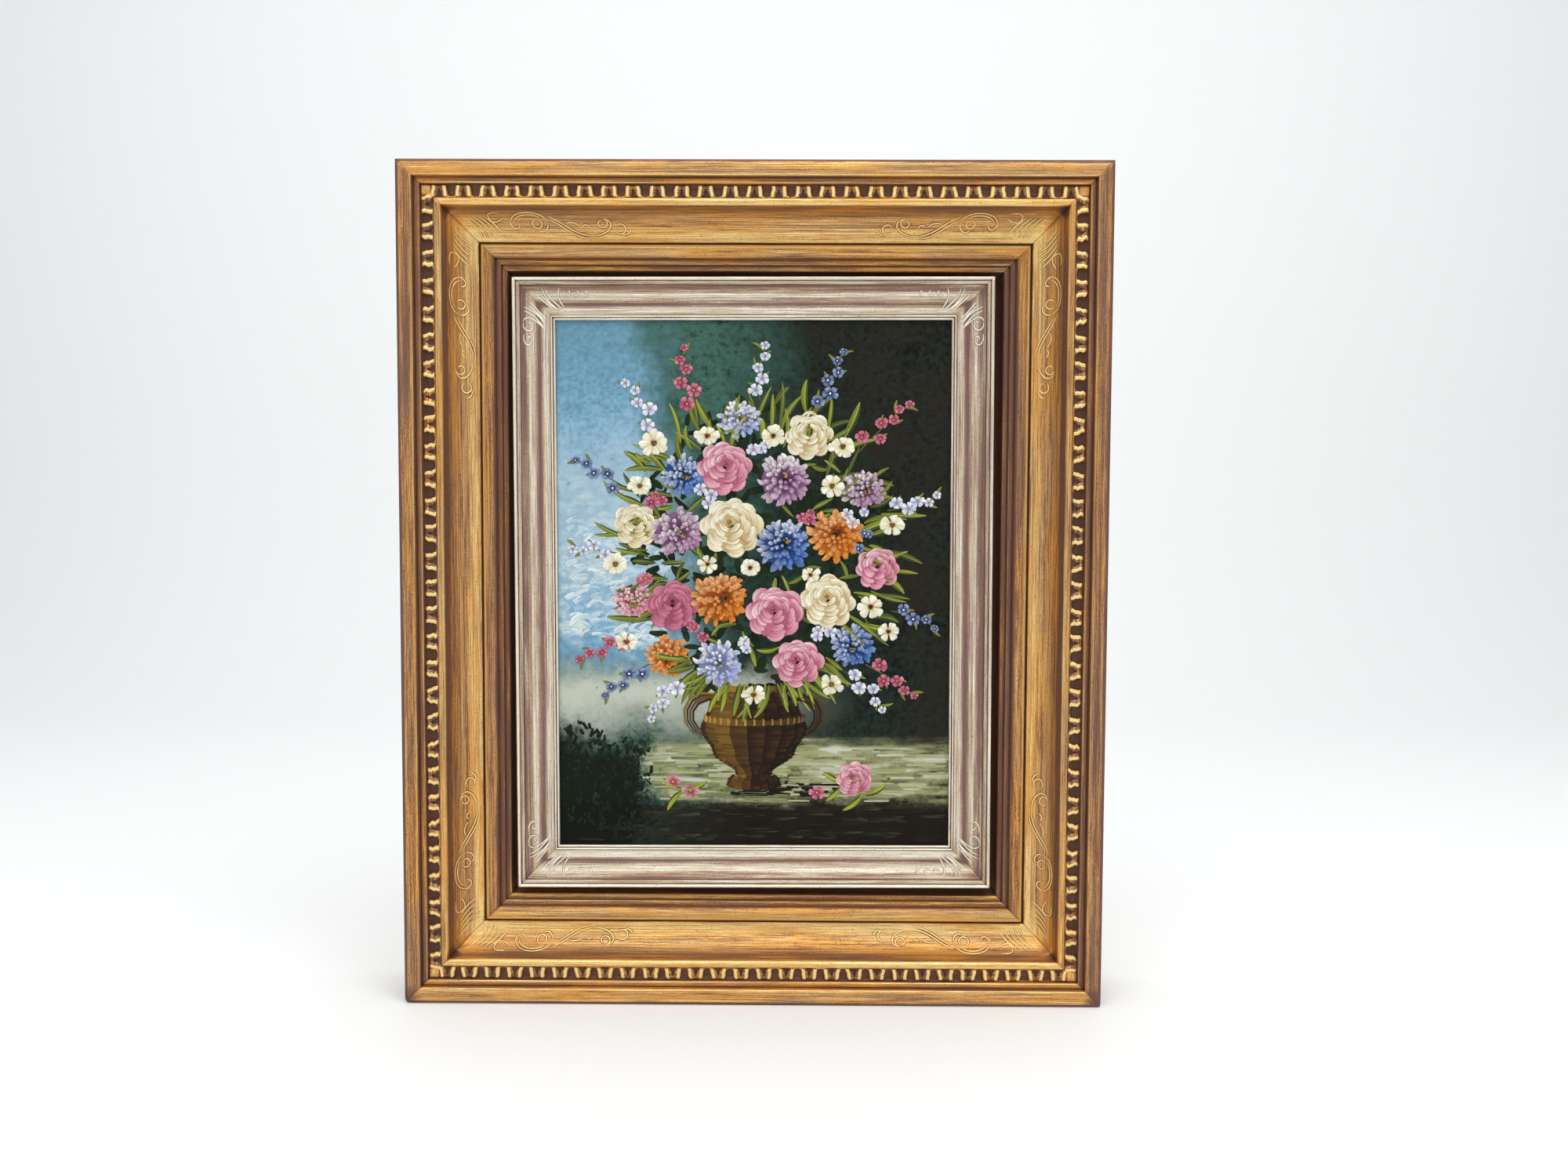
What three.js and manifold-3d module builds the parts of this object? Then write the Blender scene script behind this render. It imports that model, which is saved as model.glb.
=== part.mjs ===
// A small oil painting on stretched canvas, held in a silvered insert frame
// that is set into a deep gilt outer frame with a carved leaf band.
//
// Millimetres, +Z up. The painting faces -Y and hangs on a wall at y = 0.
// The origin is the middle of the hanger's rear face, where it meets the wall.
//
// Mouldings are drawn as sections in (t, h): t runs in from the outer edge
// towards the picture, h runs forward from the back of the outer frame.

import * as THREE from 'three';
import { mergeVertices } from 'three/addons/utils/BufferGeometryUtils.js';
import Module from 'manifold-3d';

const wasm = await Module();
wasm.setup();

// ---------------------------------------------------------------- dimensions

const FRAME_WIDTH = 384;
const FRAME_HEIGHT = 459;
const FRAME_DEPTH = 46;
const JOINT_GAP = 0.3;

const CANVAS_WIDTH = 228.6;
const CANVAS_HEIGHT = 304.8;
const CANVAS_THICKNESS = 0.8;
const CANVAS_TURNOVER = 13;

const HANGER_PROUD = 3;
const HANGER_DROP = 22;

// Outer moulding, from its outer edge inwards.
const EDGE_ROUND = 1.2;
const FILLET_END = 8.8;
const FILLET_CROWN = 0.5;
const STEP_START = 9.3;
const STEP_END = 12.1;
const STEP_H = 42.6;
const BAND_START = 12.7;
const BAND_END = 19.3;
const BAND_H = 41.6;
const GROOVE_DEPTH = 1.1;
const RIDGE_H = 41.4;
const RIDGE_END = 23;
const COVE_START = 24.6;
const COVE_END = 39.2;
const COVE_TOP_H = 34.4;
const COVE_FLOOR_H = 22;
const COVE_TOP_PULL = 1.5;
const COVE_FLOOR_PULL = 1;
const TORUS_START = 40;
const TORUS_END = 47.4;
const TORUS_EDGE_H = 23;
const TORUS_CROWN = 1.6;
const LIP_STEPS = [
  { start: 48, end: 50.7, h: 21 },
  { start: 51.2, end: 54, h: 19.4 },
];
const LEDGE_END = 73;
const LEDGE_H = 10;

// Leaf band: tapering leaves, each with a hollow, on a lower ground.
const LEAF_COUNT = { top: 27, bottom: 28, left: 29, right: 29 };
const LEAF_SPAN_INSET = 22.5;
const LEAF_WIDTH_INNER = 10.1;
const LEAF_WIDTH_OUTER = 5.6;
const LEAF_RIB = 1.8;
const LEAF_TIP = 1.5;
const GROUND_DEPTH = 2.6;
const HOLLOW_DEPTH = 1.9;
const BAND_MARGIN = 0.35;

// Insert moulding, from its own outer edge inwards.
const INSERT_START = 58.4;
const INSERT_WIDTH = 23.1;
const INSERT_BEAD_WIDTH = 2;
const INSERT_BEAD_H = 24.2;
const INSERT_BEAD_CROWN = 0.8;
const INSERT_FLAT_START = 2.3;
const INSERT_FLAT_END = 4.2;
const INSERT_FLAT_H = 23.9;
const INSERT_COVE_START = 4.7;
const INSERT_COVE_END = 19.8;
const INSERT_COVE_TOP_H = 23.6;
const INSERT_COVE_FLOOR_H = 18.9;
const INSERT_COVE_SAG = 1.4;
const INSERT_GROOVE_H = 18.5;
const INSERT_SIGHT_BEADS = [
  { start: 20.4, end: 21.6, h: 19.4 },
  { start: 21.8, end: 23.1, h: 19.2 },
];
const SIGHT_BEAD_CROWN = 0.6;
const SIGHT_LIP_H = 17.8;
const RABBET_CLEARANCE = 1.2;

// The insert sits a little off the centre of the outer frame, and a hair askew.
const INSERT_OFFSET_X = -0.6;
const INSERT_OFFSET_Z = 0.9;
const INSERT_TURN_DEG = -0.2;

const BAR_WIDTH = 20;
const BAR_LIP = 4;
const BAR_BEVEL = 2;

const PLATE_LENGTH = 30;
const PLATE_WIDTH = 11;
const PLATE_THICKNESS = 1;
const PLATE_START = 59;
const PLATE_SPACING = 170;
const PLATE_HOLE_INSET = 6;
const SCREW = { shank: 1.2, head: 2.9, headHeight: 0.9, length: 8 };

const HANGER_LENGTH = 48;
const HANGER_HEIGHT = 9;
const HANGER_STEEL = 0.8;
const HANGER_EAR = 9;
const HANGER_SLOPE = 2.4;
const TOOTH_PITCH = 2.6;
const TOOTH_DEPTH = 1.7;
const TOOTH_COUNT = 9;
const NAIL = { shank: 0.7, head: 2, headHeight: 0.8, length: 12 };

const HOLE_CLEARANCE = 0.3;
const HOLE_EXTRA_DEPTH = 0.8;
const ROUND_SEGMENTS = 16;
const CURVE_SEGMENTS = 7;
const CUT_OVERLAP = 0.5;
const WELD_DISTANCE = 1e-4;

// ----------------------------------------------------------------- materials

function finish(colour, roughness, metalness) {
  return new THREE.MeshStandardMaterial({ color: colour, roughness, metalness });
}

const FINISH = {
  gold: finish(0xc08f4c, 0.45, 0.55),
  silver: finish(0xc9bba6, 0.42, 0.5),
  canvas: finish(0x55665a, 0.6, 0),
  pine: finish(0xcfae7d, 0.75, 0),
  steel: finish(0x9a9a98, 0.4, 0.9),
  brass: finish(0xb9974f, 0.35, 0.9),
};

// ------------------------------------------------------------- solid helpers

function toSolid(geometry) {
  const plain = geometry.clone();
  plain.deleteAttribute('normal');
  plain.deleteAttribute('uv');
  const merged = mergeVertices(plain, WELD_DISTANCE);
  return new wasm.Manifold(new wasm.Mesh({
    numProp: 3,
    vertProperties: new Float32Array(merged.attributes.position.array),
    triVerts: new Uint32Array(merged.index.array),
  }));
}

function toGeometry(solid) {
  const mesh = solid.getMesh();
  const geometry = new THREE.BufferGeometry();
  geometry.setAttribute('position', new THREE.BufferAttribute(new Float32Array(mesh.vertProperties), 3));
  geometry.setIndex(new THREE.BufferAttribute(new Uint32Array(mesh.triVerts), 1));
  geometry.computeVertexNormals();
  return geometry;
}

function cut(geometry, cutters) {
  let solid = toSolid(geometry);
  for (const cutter of cutters) {
    solid = solid.subtract(toSolid(cutter));
  }
  return toGeometry(solid);
}

function piece(name, geometry, material) {
  const mesh = new THREE.Mesh(geometry, material.clone());
  mesh.name = name;
  return mesh;
}

// A box between two corners.
function block(low, high) {
  const size = new THREE.Vector3().subVectors(high, low);
  const geometry = new THREE.BoxGeometry(size.x, size.y, size.z);
  geometry.translate(...new THREE.Vector3().addVectors(low, high).multiplyScalar(0.5).toArray());
  return geometry;
}

// A round bar along Y, from yLow to yHigh.
function roundBar(radius, yLow, yHigh, x, z) {
  const geometry = new THREE.CylinderGeometry(radius, radius, yHigh - yLow, ROUND_SEGMENTS);
  geometry.translate(x, (yLow + yHigh) / 2, z);
  return geometry;
}

// ----------------------------------------------------------- mitred mouldings

// Turns a (t, h) section into the top length of a frame that is `width` by `height`,
// centred on the frame, with both ends mitred. The back of the moulding is at y = 0.
// The section is drawn one unit deep, and its two faces become the two ends.
function topLength(section, width, height) {
  const geometry = new THREE.ExtrudeGeometry(section, {
    depth: 1,
    bevelEnabled: false,
    curveSegments: CURVE_SEGMENTS,
  });
  const position = geometry.attributes.position;
  const setBack = JOINT_GAP / Math.SQRT2;
  for (let i = 0; i < position.count; i += 1) {
    const t = position.getX(i);
    const h = position.getY(i);
    const side = position.getZ(i) > 0.5 ? -1 : 1;
    position.setXYZ(i, side * (width / 2 - t - setBack), -h, height / 2 - t);
  }
  return geometry;
}

// The four sides of a frame: the name, its turn about Y, its length and its distance across.
function sides(width, height) {
  return [
    { side: 'top', turn: 0, length: width, across: height },
    { side: 'right', turn: Math.PI / 2, length: height, across: width },
    { side: 'bottom', turn: Math.PI, length: width, across: height },
    { side: 'left', turn: -Math.PI / 2, length: height, across: width },
  ];
}

// A rounded swelling between two edges of a section, drawn as one quadratic curve.
function swell(section, from, to, h, crown) {
  section.lineTo(from, h);
  section.quadraticCurveTo((from + to) / 2, h + 2 * crown, to, h);
}

// A V groove whose bottom is midway between two edges.
function groove(section, from, to, h) {
  section.lineTo((from + to) / 2, h);
}

function outerSection() {
  const fillet = FRAME_DEPTH - FILLET_CROWN;
  const section = new THREE.Shape();
  section.moveTo(0, 0);
  section.lineTo(0, fillet - EDGE_ROUND);
  section.quadraticCurveTo(0, fillet, EDGE_ROUND, fillet);
  swell(section, EDGE_ROUND, FILLET_END, fillet, FILLET_CROWN);
  groove(section, FILLET_END, STEP_START, STEP_H - GROOVE_DEPTH);
  swell(section, STEP_START, STEP_END, STEP_H, FILLET_CROWN);
  groove(section, STEP_END, BAND_START, BAND_H - GROOVE_DEPTH);
  section.lineTo(BAND_START, BAND_H);
  section.lineTo(BAND_END, BAND_H);
  swell(section, BAND_END, RIDGE_END, RIDGE_H, FILLET_CROWN);
  section.lineTo(COVE_START, COVE_TOP_H);
  section.bezierCurveTo(
    COVE_START + COVE_TOP_PULL, (COVE_TOP_H + COVE_FLOOR_H) / 2,
    (COVE_START + COVE_END) / 2, COVE_FLOOR_H + COVE_FLOOR_PULL,
    COVE_END, COVE_FLOOR_H,
  );
  groove(section, COVE_END, TORUS_START, COVE_FLOOR_H - GROOVE_DEPTH);
  swell(section, TORUS_START, TORUS_END, TORUS_EDGE_H, TORUS_CROWN);
  let previous = TORUS_END;
  for (const step of LIP_STEPS) {
    groove(section, previous, step.start, step.h - GROOVE_DEPTH);
    swell(section, step.start, step.end, step.h, FILLET_CROWN);
    previous = step.end;
  }
  section.lineTo(previous, LEDGE_H);
  section.lineTo(LEDGE_END, LEDGE_H);
  section.lineTo(LEDGE_END, 0);
  section.closePath();
  return section;
}

// A four-sided cutter over the leaf band: as wide as `outer` at t0 and `inner` at t1.
function bandCutter(u, t0, t1, outer, inner, depth, across) {
  const outline = new THREE.Shape();
  outline.moveTo(u - outer / 2, across / 2 - t0);
  outline.lineTo(u + outer / 2, across / 2 - t0);
  outline.lineTo(u + inner / 2, across / 2 - t1);
  outline.lineTo(u - inner / 2, across / 2 - t1);
  outline.closePath();
  const geometry = new THREE.ExtrudeGeometry(outline, { depth: depth + GROUND_DEPTH, bevelEnabled: false });
  geometry.rotateX(Math.PI / 2);
  geometry.translate(0, -BAND_H + depth, 0);
  return geometry;
}

// The hollow inside each leaf and the sunk ground between leaves.
function bandCutters(count, length, across) {
  const span = length - 2 * LEAF_SPAN_INSET;
  const pitch = span / (count - 1);
  const hollowInner = LEAF_WIDTH_INNER - 2 * LEAF_RIB;
  const hollowOuter = LEAF_WIDTH_OUTER - 2 * LEAF_RIB;
  const cutters = [];
  for (let i = 0; i < count; i += 1) {
    const u = -span / 2 + i * pitch;
    cutters.push(bandCutter(
      u, BAND_START + LEAF_TIP, BAND_END - BAND_MARGIN,
      hollowOuter, hollowInner, HOLLOW_DEPTH, across,
    ));
    if (i > 0) {
      cutters.push(bandCutter(
        u - pitch / 2, BAND_START + BAND_MARGIN, BAND_END - BAND_MARGIN,
        pitch - LEAF_WIDTH_OUTER, pitch - LEAF_WIDTH_INNER, GROUND_DEPTH, across,
      ));
    }
  }
  return cutters;
}

// Where the turn plates are screwed on, as heights on the side lengths.
const PLATE_HEIGHTS = [PLATE_SPACING / 2, -PLATE_SPACING / 2];
const SCREW_T = PLATE_START + PLATE_HOLE_INSET;
const NAIL_X = (HANGER_LENGTH - HANGER_EAR) / 2;

// Blind holes in the back of one length, in the frame's own upright position.
function pilotHoles(side) {
  const holes = [];
  if (side === 'top') {
    for (const x of [-NAIL_X, NAIL_X]) {
      holes.push(roundBar(
        NAIL.shank + HOLE_CLEARANCE, -NAIL.length - HOLE_EXTRA_DEPTH, HOLE_CLEARANCE,
        x, FRAME_HEIGHT / 2 - HANGER_DROP,
      ));
    }
  }
  if (side === 'left' || side === 'right') {
    const x = (side === 'left' ? -1 : 1) * (FRAME_WIDTH / 2 - SCREW_T);
    for (const z of PLATE_HEIGHTS) {
      holes.push(roundBar(
        SCREW.shank + HOLE_CLEARANCE, -SCREW.length - HOLE_EXTRA_DEPTH, HOLE_CLEARANCE, x, z,
      ));
    }
  }
  return holes;
}

function outerFrame() {
  const group = new THREE.Group();
  const section = outerSection();
  for (const { side, turn, length, across } of sides(FRAME_WIDTH, FRAME_HEIGHT)) {
    const plain = topLength(section, length, across);
    const carved = cut(plain, bandCutters(LEAF_COUNT[side], length, across));
    carved.rotateY(turn);
    const holes = pilotHoles(side);
    group.add(piece(`frame_${side}`, holes.length ? cut(carved, holes) : carved, FINISH.gold));
  }
  return group;
}

// -------------------------------------------------------------- insert frame

const INSERT_OUTER_WIDTH = FRAME_WIDTH - 2 * INSERT_START;
const INSERT_OUTER_HEIGHT = FRAME_HEIGHT - 2 * INSERT_START;
const RABBET_START = (INSERT_OUTER_WIDTH - CANVAS_WIDTH) / 2 - RABBET_CLEARANCE;

function insertSection() {
  const back = LEDGE_H + JOINT_GAP;
  const section = new THREE.Shape();
  section.moveTo(0, back);
  swell(section, 0, INSERT_BEAD_WIDTH, INSERT_BEAD_H, INSERT_BEAD_CROWN);
  groove(section, INSERT_BEAD_WIDTH, INSERT_FLAT_START, INSERT_FLAT_H - GROOVE_DEPTH / 2);
  section.lineTo(INSERT_FLAT_START, INSERT_FLAT_H);
  section.lineTo(INSERT_FLAT_END, INSERT_FLAT_H);
  groove(section, INSERT_FLAT_END, INSERT_COVE_START, INSERT_COVE_TOP_H - GROOVE_DEPTH / 2);
  section.lineTo(INSERT_COVE_START, INSERT_COVE_TOP_H);
  section.quadraticCurveTo(
    (INSERT_COVE_START + INSERT_COVE_END) / 2,
    (INSERT_COVE_TOP_H + INSERT_COVE_FLOOR_H) / 2 - INSERT_COVE_SAG,
    INSERT_COVE_END, INSERT_COVE_FLOOR_H,
  );
  let previous = INSERT_COVE_END;
  for (const bead of INSERT_SIGHT_BEADS) {
    groove(section, previous, bead.start, INSERT_GROOVE_H);
    swell(section, bead.start, bead.end, bead.h, SIGHT_BEAD_CROWN);
    previous = bead.end;
  }
  section.lineTo(INSERT_WIDTH, SIGHT_LIP_H);
  section.lineTo(RABBET_START, SIGHT_LIP_H);
  section.lineTo(RABBET_START, back);
  section.closePath();
  return section;
}

function insertFrame() {
  const group = new THREE.Group();
  const section = insertSection();
  for (const { side, turn, length, across } of sides(INSERT_OUTER_WIDTH, INSERT_OUTER_HEIGHT)) {
    const geometry = cut(topLength(section, length, across), []);
    geometry.rotateY(turn);
    group.add(piece(`insert_${side}`, geometry, FINISH.silver));
  }
  return group;
}

// -------------------------------------------------------- canvas and stretcher

const CANVAS_FRONT_H = SIGHT_LIP_H - JOINT_GAP;

// The canvas covers the front and edges of the stretcher and turns over its back.
function paintedCanvas() {
  const x = CANVAS_WIDTH / 2;
  const z = CANVAS_HEIGHT / 2;
  const skin = CANVAS_THICKNESS;
  const wrap = block(new THREE.Vector3(-x, -CANVAS_FRONT_H, -z), new THREE.Vector3(x, 0, z));
  const inside = block(
    new THREE.Vector3(skin - x, skin - CANVAS_FRONT_H, skin - z),
    new THREE.Vector3(x - skin, -skin, z - skin),
  );
  const openBack = block(
    new THREE.Vector3(CANVAS_TURNOVER - x, -skin * 2, CANVAS_TURNOVER - z),
    new THREE.Vector3(x - CANVAS_TURNOVER, skin, z - CANVAS_TURNOVER),
  );
  return piece('canvas', cut(wrap, [inside, openBack]), FINISH.canvas);
}

// A stretcher bar touches the canvas only at its outer lip, then slopes away from it.
function barSection(back, front) {
  const section = new THREE.Shape();
  section.moveTo(0, back);
  section.lineTo(0, front);
  section.lineTo(BAR_LIP, front);
  section.lineTo(BAR_WIDTH, front - BAR_BEVEL);
  section.lineTo(BAR_WIDTH, back);
  section.closePath();
  return section;
}

function stretcher() {
  const group = new THREE.Group();
  const inset = CANVAS_THICKNESS + JOINT_GAP;
  const section = barSection(inset, CANVAS_FRONT_H - inset);
  const width = CANVAS_WIDTH - 2 * inset;
  const height = CANVAS_HEIGHT - 2 * inset;
  for (const { side, turn, length, across } of sides(width, height)) {
    const geometry = cut(topLength(section, length, across), []);
    geometry.rotateY(turn);
    group.add(piece(`stretcher_${side}`, geometry, FINISH.pine));
  }
  return group;
}

// ------------------------------------------------------------------- fixings

// A headed pin along Y: the shank runs forward from the head's underside at y = face.
function headedPin(size, face, x, z) {
  const shank = toSolid(roundBar(size.shank, face - size.length, face + size.headHeight / 2, x, z));
  const head = toSolid(roundBar(size.head, face, face + size.headHeight, x, z));
  return toGeometry(shank.add(head));
}

// Flat steel plates, screwed to the outer frame, that reach over the stretcher's back.
function turnPlates() {
  const group = new THREE.Group();
  let number = 1;
  for (const sign of [-1, 1]) {
    const outerX = sign * (FRAME_WIDTH / 2 - PLATE_START);
    const innerX = outerX - sign * PLATE_LENGTH;
    const screwX = sign * (FRAME_WIDTH / 2 - SCREW_T);
    for (const z of PLATE_HEIGHTS) {
      const plate = block(
        new THREE.Vector3(Math.min(outerX, innerX), JOINT_GAP, z - PLATE_WIDTH / 2),
        new THREE.Vector3(Math.max(outerX, innerX), JOINT_GAP + PLATE_THICKNESS, z + PLATE_WIDTH / 2),
      );
      const hole = roundBar(SCREW.shank + HOLE_CLEARANCE, 0, 2 * PLATE_THICKNESS, screwX, z);
      const face = 2 * JOINT_GAP + PLATE_THICKNESS;
      group.add(piece(`turn_plate_${number}`, cut(plate, [hole]), FINISH.steel));
      group.add(piece(`plate_screw_${number}`, headedPin(SCREW, face, screwX, z), FINISH.steel));
      number += 1;
    }
  }
  return group;
}

// A strip with two flat ears and a raised middle, drawn in plan and extruded upwards.
function hangerStrip() {
  const end = HANGER_LENGTH / 2;
  const ear = end - HANGER_EAR;
  const rise = ear - HANGER_SLOPE;
  const low = JOINT_GAP;
  const high = HANGER_PROUD - HANGER_STEEL;
  const outline = new THREE.Shape();
  outline.moveTo(-end, low);
  outline.lineTo(-ear, low);
  outline.lineTo(-rise, high);
  outline.lineTo(rise, high);
  outline.lineTo(ear, low);
  outline.lineTo(end, low);
  outline.lineTo(end, low + HANGER_STEEL);
  outline.lineTo(ear, low + HANGER_STEEL);
  outline.lineTo(rise, high + HANGER_STEEL);
  outline.lineTo(-rise, high + HANGER_STEEL);
  outline.lineTo(-ear, low + HANGER_STEEL);
  outline.lineTo(-end, low + HANGER_STEEL);
  outline.closePath();
  const geometry = new THREE.ExtrudeGeometry(outline, { depth: HANGER_HEIGHT, bevelEnabled: false });
  geometry.translate(0, 0, -HANGER_HEIGHT / 2);
  return geometry;
}

// One notch of the saw-tooth edge, open below.
function toothCutter(x) {
  const notch = new THREE.Shape();
  const bottom = -HANGER_HEIGHT / 2;
  notch.moveTo(x - TOOTH_PITCH / 2, bottom - CUT_OVERLAP);
  notch.lineTo(x + TOOTH_PITCH / 2, bottom - CUT_OVERLAP);
  notch.lineTo(x, bottom + TOOTH_DEPTH);
  notch.closePath();
  const geometry = new THREE.ExtrudeGeometry(notch, { depth: HANGER_PROUD + 2 * CUT_OVERLAP, bevelEnabled: false });
  geometry.rotateX(Math.PI / 2);
  geometry.translate(0, HANGER_PROUD + CUT_OVERLAP, 0);
  return geometry;
}

function hanger() {
  const group = new THREE.Group();
  const z = FRAME_HEIGHT / 2 - HANGER_DROP;
  const cutters = [];
  for (let i = 0; i < TOOTH_COUNT; i += 1) {
    cutters.push(toothCutter((i - (TOOTH_COUNT - 1) / 2) * TOOTH_PITCH));
  }
  for (const x of [-NAIL_X, NAIL_X]) {
    cutters.push(roundBar(NAIL.shank + HOLE_CLEARANCE, -CUT_OVERLAP, HANGER_PROUD, x, 0));
  }
  const strip = cut(hangerStrip(), cutters);
  strip.translate(0, 0, z);
  group.add(piece('hanger', strip, FINISH.brass));
  const face = 2 * JOINT_GAP + HANGER_STEEL;
  for (const [side, x] of [['left', -NAIL_X], ['right', NAIL_X]]) {
    group.add(piece(`hanger_nail_${side}`, headedPin(NAIL, face, x, z), FINISH.brass));
  }
  return group;
}

// ------------------------------------------------------------------ assembly

const insertAndPicture = new THREE.Group();
insertAndPicture.add(insertFrame(), paintedCanvas(), stretcher());
insertAndPicture.position.set(INSERT_OFFSET_X, 0, INSERT_OFFSET_Z);
insertAndPicture.rotation.y = THREE.MathUtils.degToRad(INSERT_TURN_DEG);

const group = new THREE.Group();
group.name = 'framed_oil_painting';
group.add(outerFrame(), insertAndPicture, turnPlates(), hanger());
group.position.set(0, -HANGER_PROUD, HANGER_DROP - FRAME_HEIGHT / 2);
group.updateMatrixWorld(true);

export default group;
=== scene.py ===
"""A small flower still life in oils on stretched canvas, in a silvered insert and a deep gilt frame.

Sections of the mouldings are in millimetres: t runs in from the outer edge towards the picture, and
h runs forward from the back of the outer frame. The picture is laid out in millimetres from its middle.
"""

import math
import random

import bmesh
import bpy
from mathutils import Matrix, Vector, noise


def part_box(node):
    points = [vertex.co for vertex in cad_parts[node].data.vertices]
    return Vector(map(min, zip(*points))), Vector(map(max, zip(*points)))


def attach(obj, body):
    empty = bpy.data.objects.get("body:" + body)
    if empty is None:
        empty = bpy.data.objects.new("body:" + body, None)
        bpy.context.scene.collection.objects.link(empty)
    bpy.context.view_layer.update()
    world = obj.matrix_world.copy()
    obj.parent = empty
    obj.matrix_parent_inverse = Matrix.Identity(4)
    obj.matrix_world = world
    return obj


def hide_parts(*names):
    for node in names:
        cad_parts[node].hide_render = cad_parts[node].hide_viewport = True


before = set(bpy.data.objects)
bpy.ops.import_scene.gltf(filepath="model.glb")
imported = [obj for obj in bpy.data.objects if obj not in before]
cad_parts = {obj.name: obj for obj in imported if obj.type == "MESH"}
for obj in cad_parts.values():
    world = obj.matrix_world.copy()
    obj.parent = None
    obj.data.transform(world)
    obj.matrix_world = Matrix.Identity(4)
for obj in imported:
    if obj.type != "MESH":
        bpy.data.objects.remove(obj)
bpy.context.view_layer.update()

bl_info = {
    "name": "Framed Oil Painting",
    "version": (1, 0, 0),
    "blender": (4, 5, 0),
    "location": "3D View > Sidebar > Picture",
    "description": "Makes a gilt and silvered frame with a carved leaf band, "
                   "and a flower painting in raised strokes",
    "category": "Object",
}

MM = 0.001
SIDES = ("top", "right", "bottom", "left")
BODY = "root"


def linear(red, green, blue):
    """A display colour from 0 to 255 as scene-linear values."""
    def one(value):
        share = value / 255
        return share / 12.92 if share <= 0.04045 else ((share + 0.055) / 1.055) ** 2.4
    return one(red), one(green), one(blue)


def mix(a, b, share):
    return a + (b - a) * share


def blend(a, b, share):
    return tuple(mix(x, y, share) for x, y in zip(a, b))


def smooth(value, low, high):
    share = min(1.0, max(0.0, (value - low) / (high - low)))
    return share * share * (3 - 2 * share)


# ---------------------------------------------------------------------- places from the frame

def joined_box(*nodes):
    """The lowest and highest corners of several nodes together."""
    boxes = [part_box(node) for node in nodes]
    low = Vector(min(box[0][axis] for box in boxes) for axis in range(3))
    high = Vector(max(box[1][axis] for box in boxes) for axis in range(3))
    return low, high


FRAME_LOW, FRAME_HIGH = joined_box(*(f"frame_{side}" for side in SIDES))
FRAME_MIDDLE = (FRAME_LOW + FRAME_HIGH) / 2
FRAME_BACK_Y = FRAME_HIGH.y
CANVAS_LOW, CANVAS_HIGH = (Vector(corner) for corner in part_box("canvas"))
PICTURE_MIDDLE = (CANVAS_LOW + CANVAS_HIGH) / 2


# ---------------------------------------------------------------------- what a user may change

def length(name, description, default_mm, **more):
    return bpy.props.FloatProperty(
        name=name, description=description, default=default_mm * MM, min=0.0, unit="LENGTH", precision=4,
        **more
    )


def colour(name, description, display):
    return bpy.props.FloatVectorProperty(
        name=name, description=description, default=linear(*display), min=0.0, max=1.0, size=3,
        subtype="COLOR"
    )


class LeafBandSizes(bpy.types.PropertyGroup):
    """The carved band of leaf tips on the outer frame."""

    count_top: bpy.props.IntProperty(
        name="Top leaves", description="Leaves on the top rail", default=27, min=2
    )
    count_bottom: bpy.props.IntProperty(
        name="Bottom leaves", description="Leaves on the bottom rail", default=28, min=2
    )
    count_side: bpy.props.IntProperty(
        name="Side leaves", description="Leaves on each side rail", default=29, min=2
    )
    inset: length("End inset", "From the end of a rail to the middle of its first leaf", 22.5)
    inner_width: length("Inner width", "Width of a leaf at its open end", 9.8)
    outer_width: length("Outer width", "Width of a leaf at its tip", 8.0)
    rib: length("Rib", "Width of the rib down each side of a leaf", 2.4)
    tip: length("Tip", "Depth of the solid tip of a leaf", 1.4)
    relief: length("Relief", "Height of a leaf over the ground", 2.6)
    hollow: length("Hollow", "Depth of the hollow in a leaf", 2.0)


class PictureSizes(bpy.types.PropertyGroup):
    """The insert, the canvas and how they sit in the outer frame."""

    width: length("Canvas width", "Width of the stretched canvas", 228.6)
    height: length("Canvas height", "Height of the stretched canvas", 304.8)
    turn: bpy.props.FloatProperty(
        name="Turn", description="How far the insert and picture sit askew", default=math.radians(-0.2),
        unit="ROTATION"
    )
    insert_start: length("Insert start", "From the outer edge of the frame to the insert", 58.4)
    turnover: length("Turnover", "Width of canvas folded over the back of the stretcher", 13)
    weave: length("Weave", "Spacing of the canvas threads", 0.9)
    bar_width: length("Bar width", "Width of a stretcher bar", 20)


class GiltColours(bpy.types.PropertyGroup):
    """The leaf, bole and toning of both frames."""

    gold_light: colour("Gold highlight", "Leaf burnished on high edges", (255, 221, 146))
    gold: colour("Gold", "Leaf on the broad mouldings", (221, 160, 80))
    gold_deep: colour("Old gold", "Leaf under brown toning", (170, 108, 48))
    bole: colour("Bole", "Red-brown clay where the leaf is rubbed through", (118, 66, 38))
    # Also the colour of painted shade, such as the gap behind the insert.
    grime: colour("Grime", "Dark toning in the recesses", (80, 46, 24))
    dull: colour("Dull leaf", "Leaf greyed by dust and handling", (184, 146, 106))
    ash: colour("Ash", "Dull purple-brown wash on steps and leaf hollows", (98, 70, 66))
    silver_light: colour("Silver highlight", "Silver leaf on the beads", (255, 250, 234))
    silver: colour("Silver", "Silver leaf under warm varnish", (216, 200, 172))
    silver_deep: colour("Old silver", "Silver leaf under brown toning", (180, 150, 118))
    mauve: colour("Mauve bole", "Clay under the silver leaf", (138, 102, 96))
    wood: colour("Bare wood", "Planed softwood on the back", (196, 158, 108))


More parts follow.
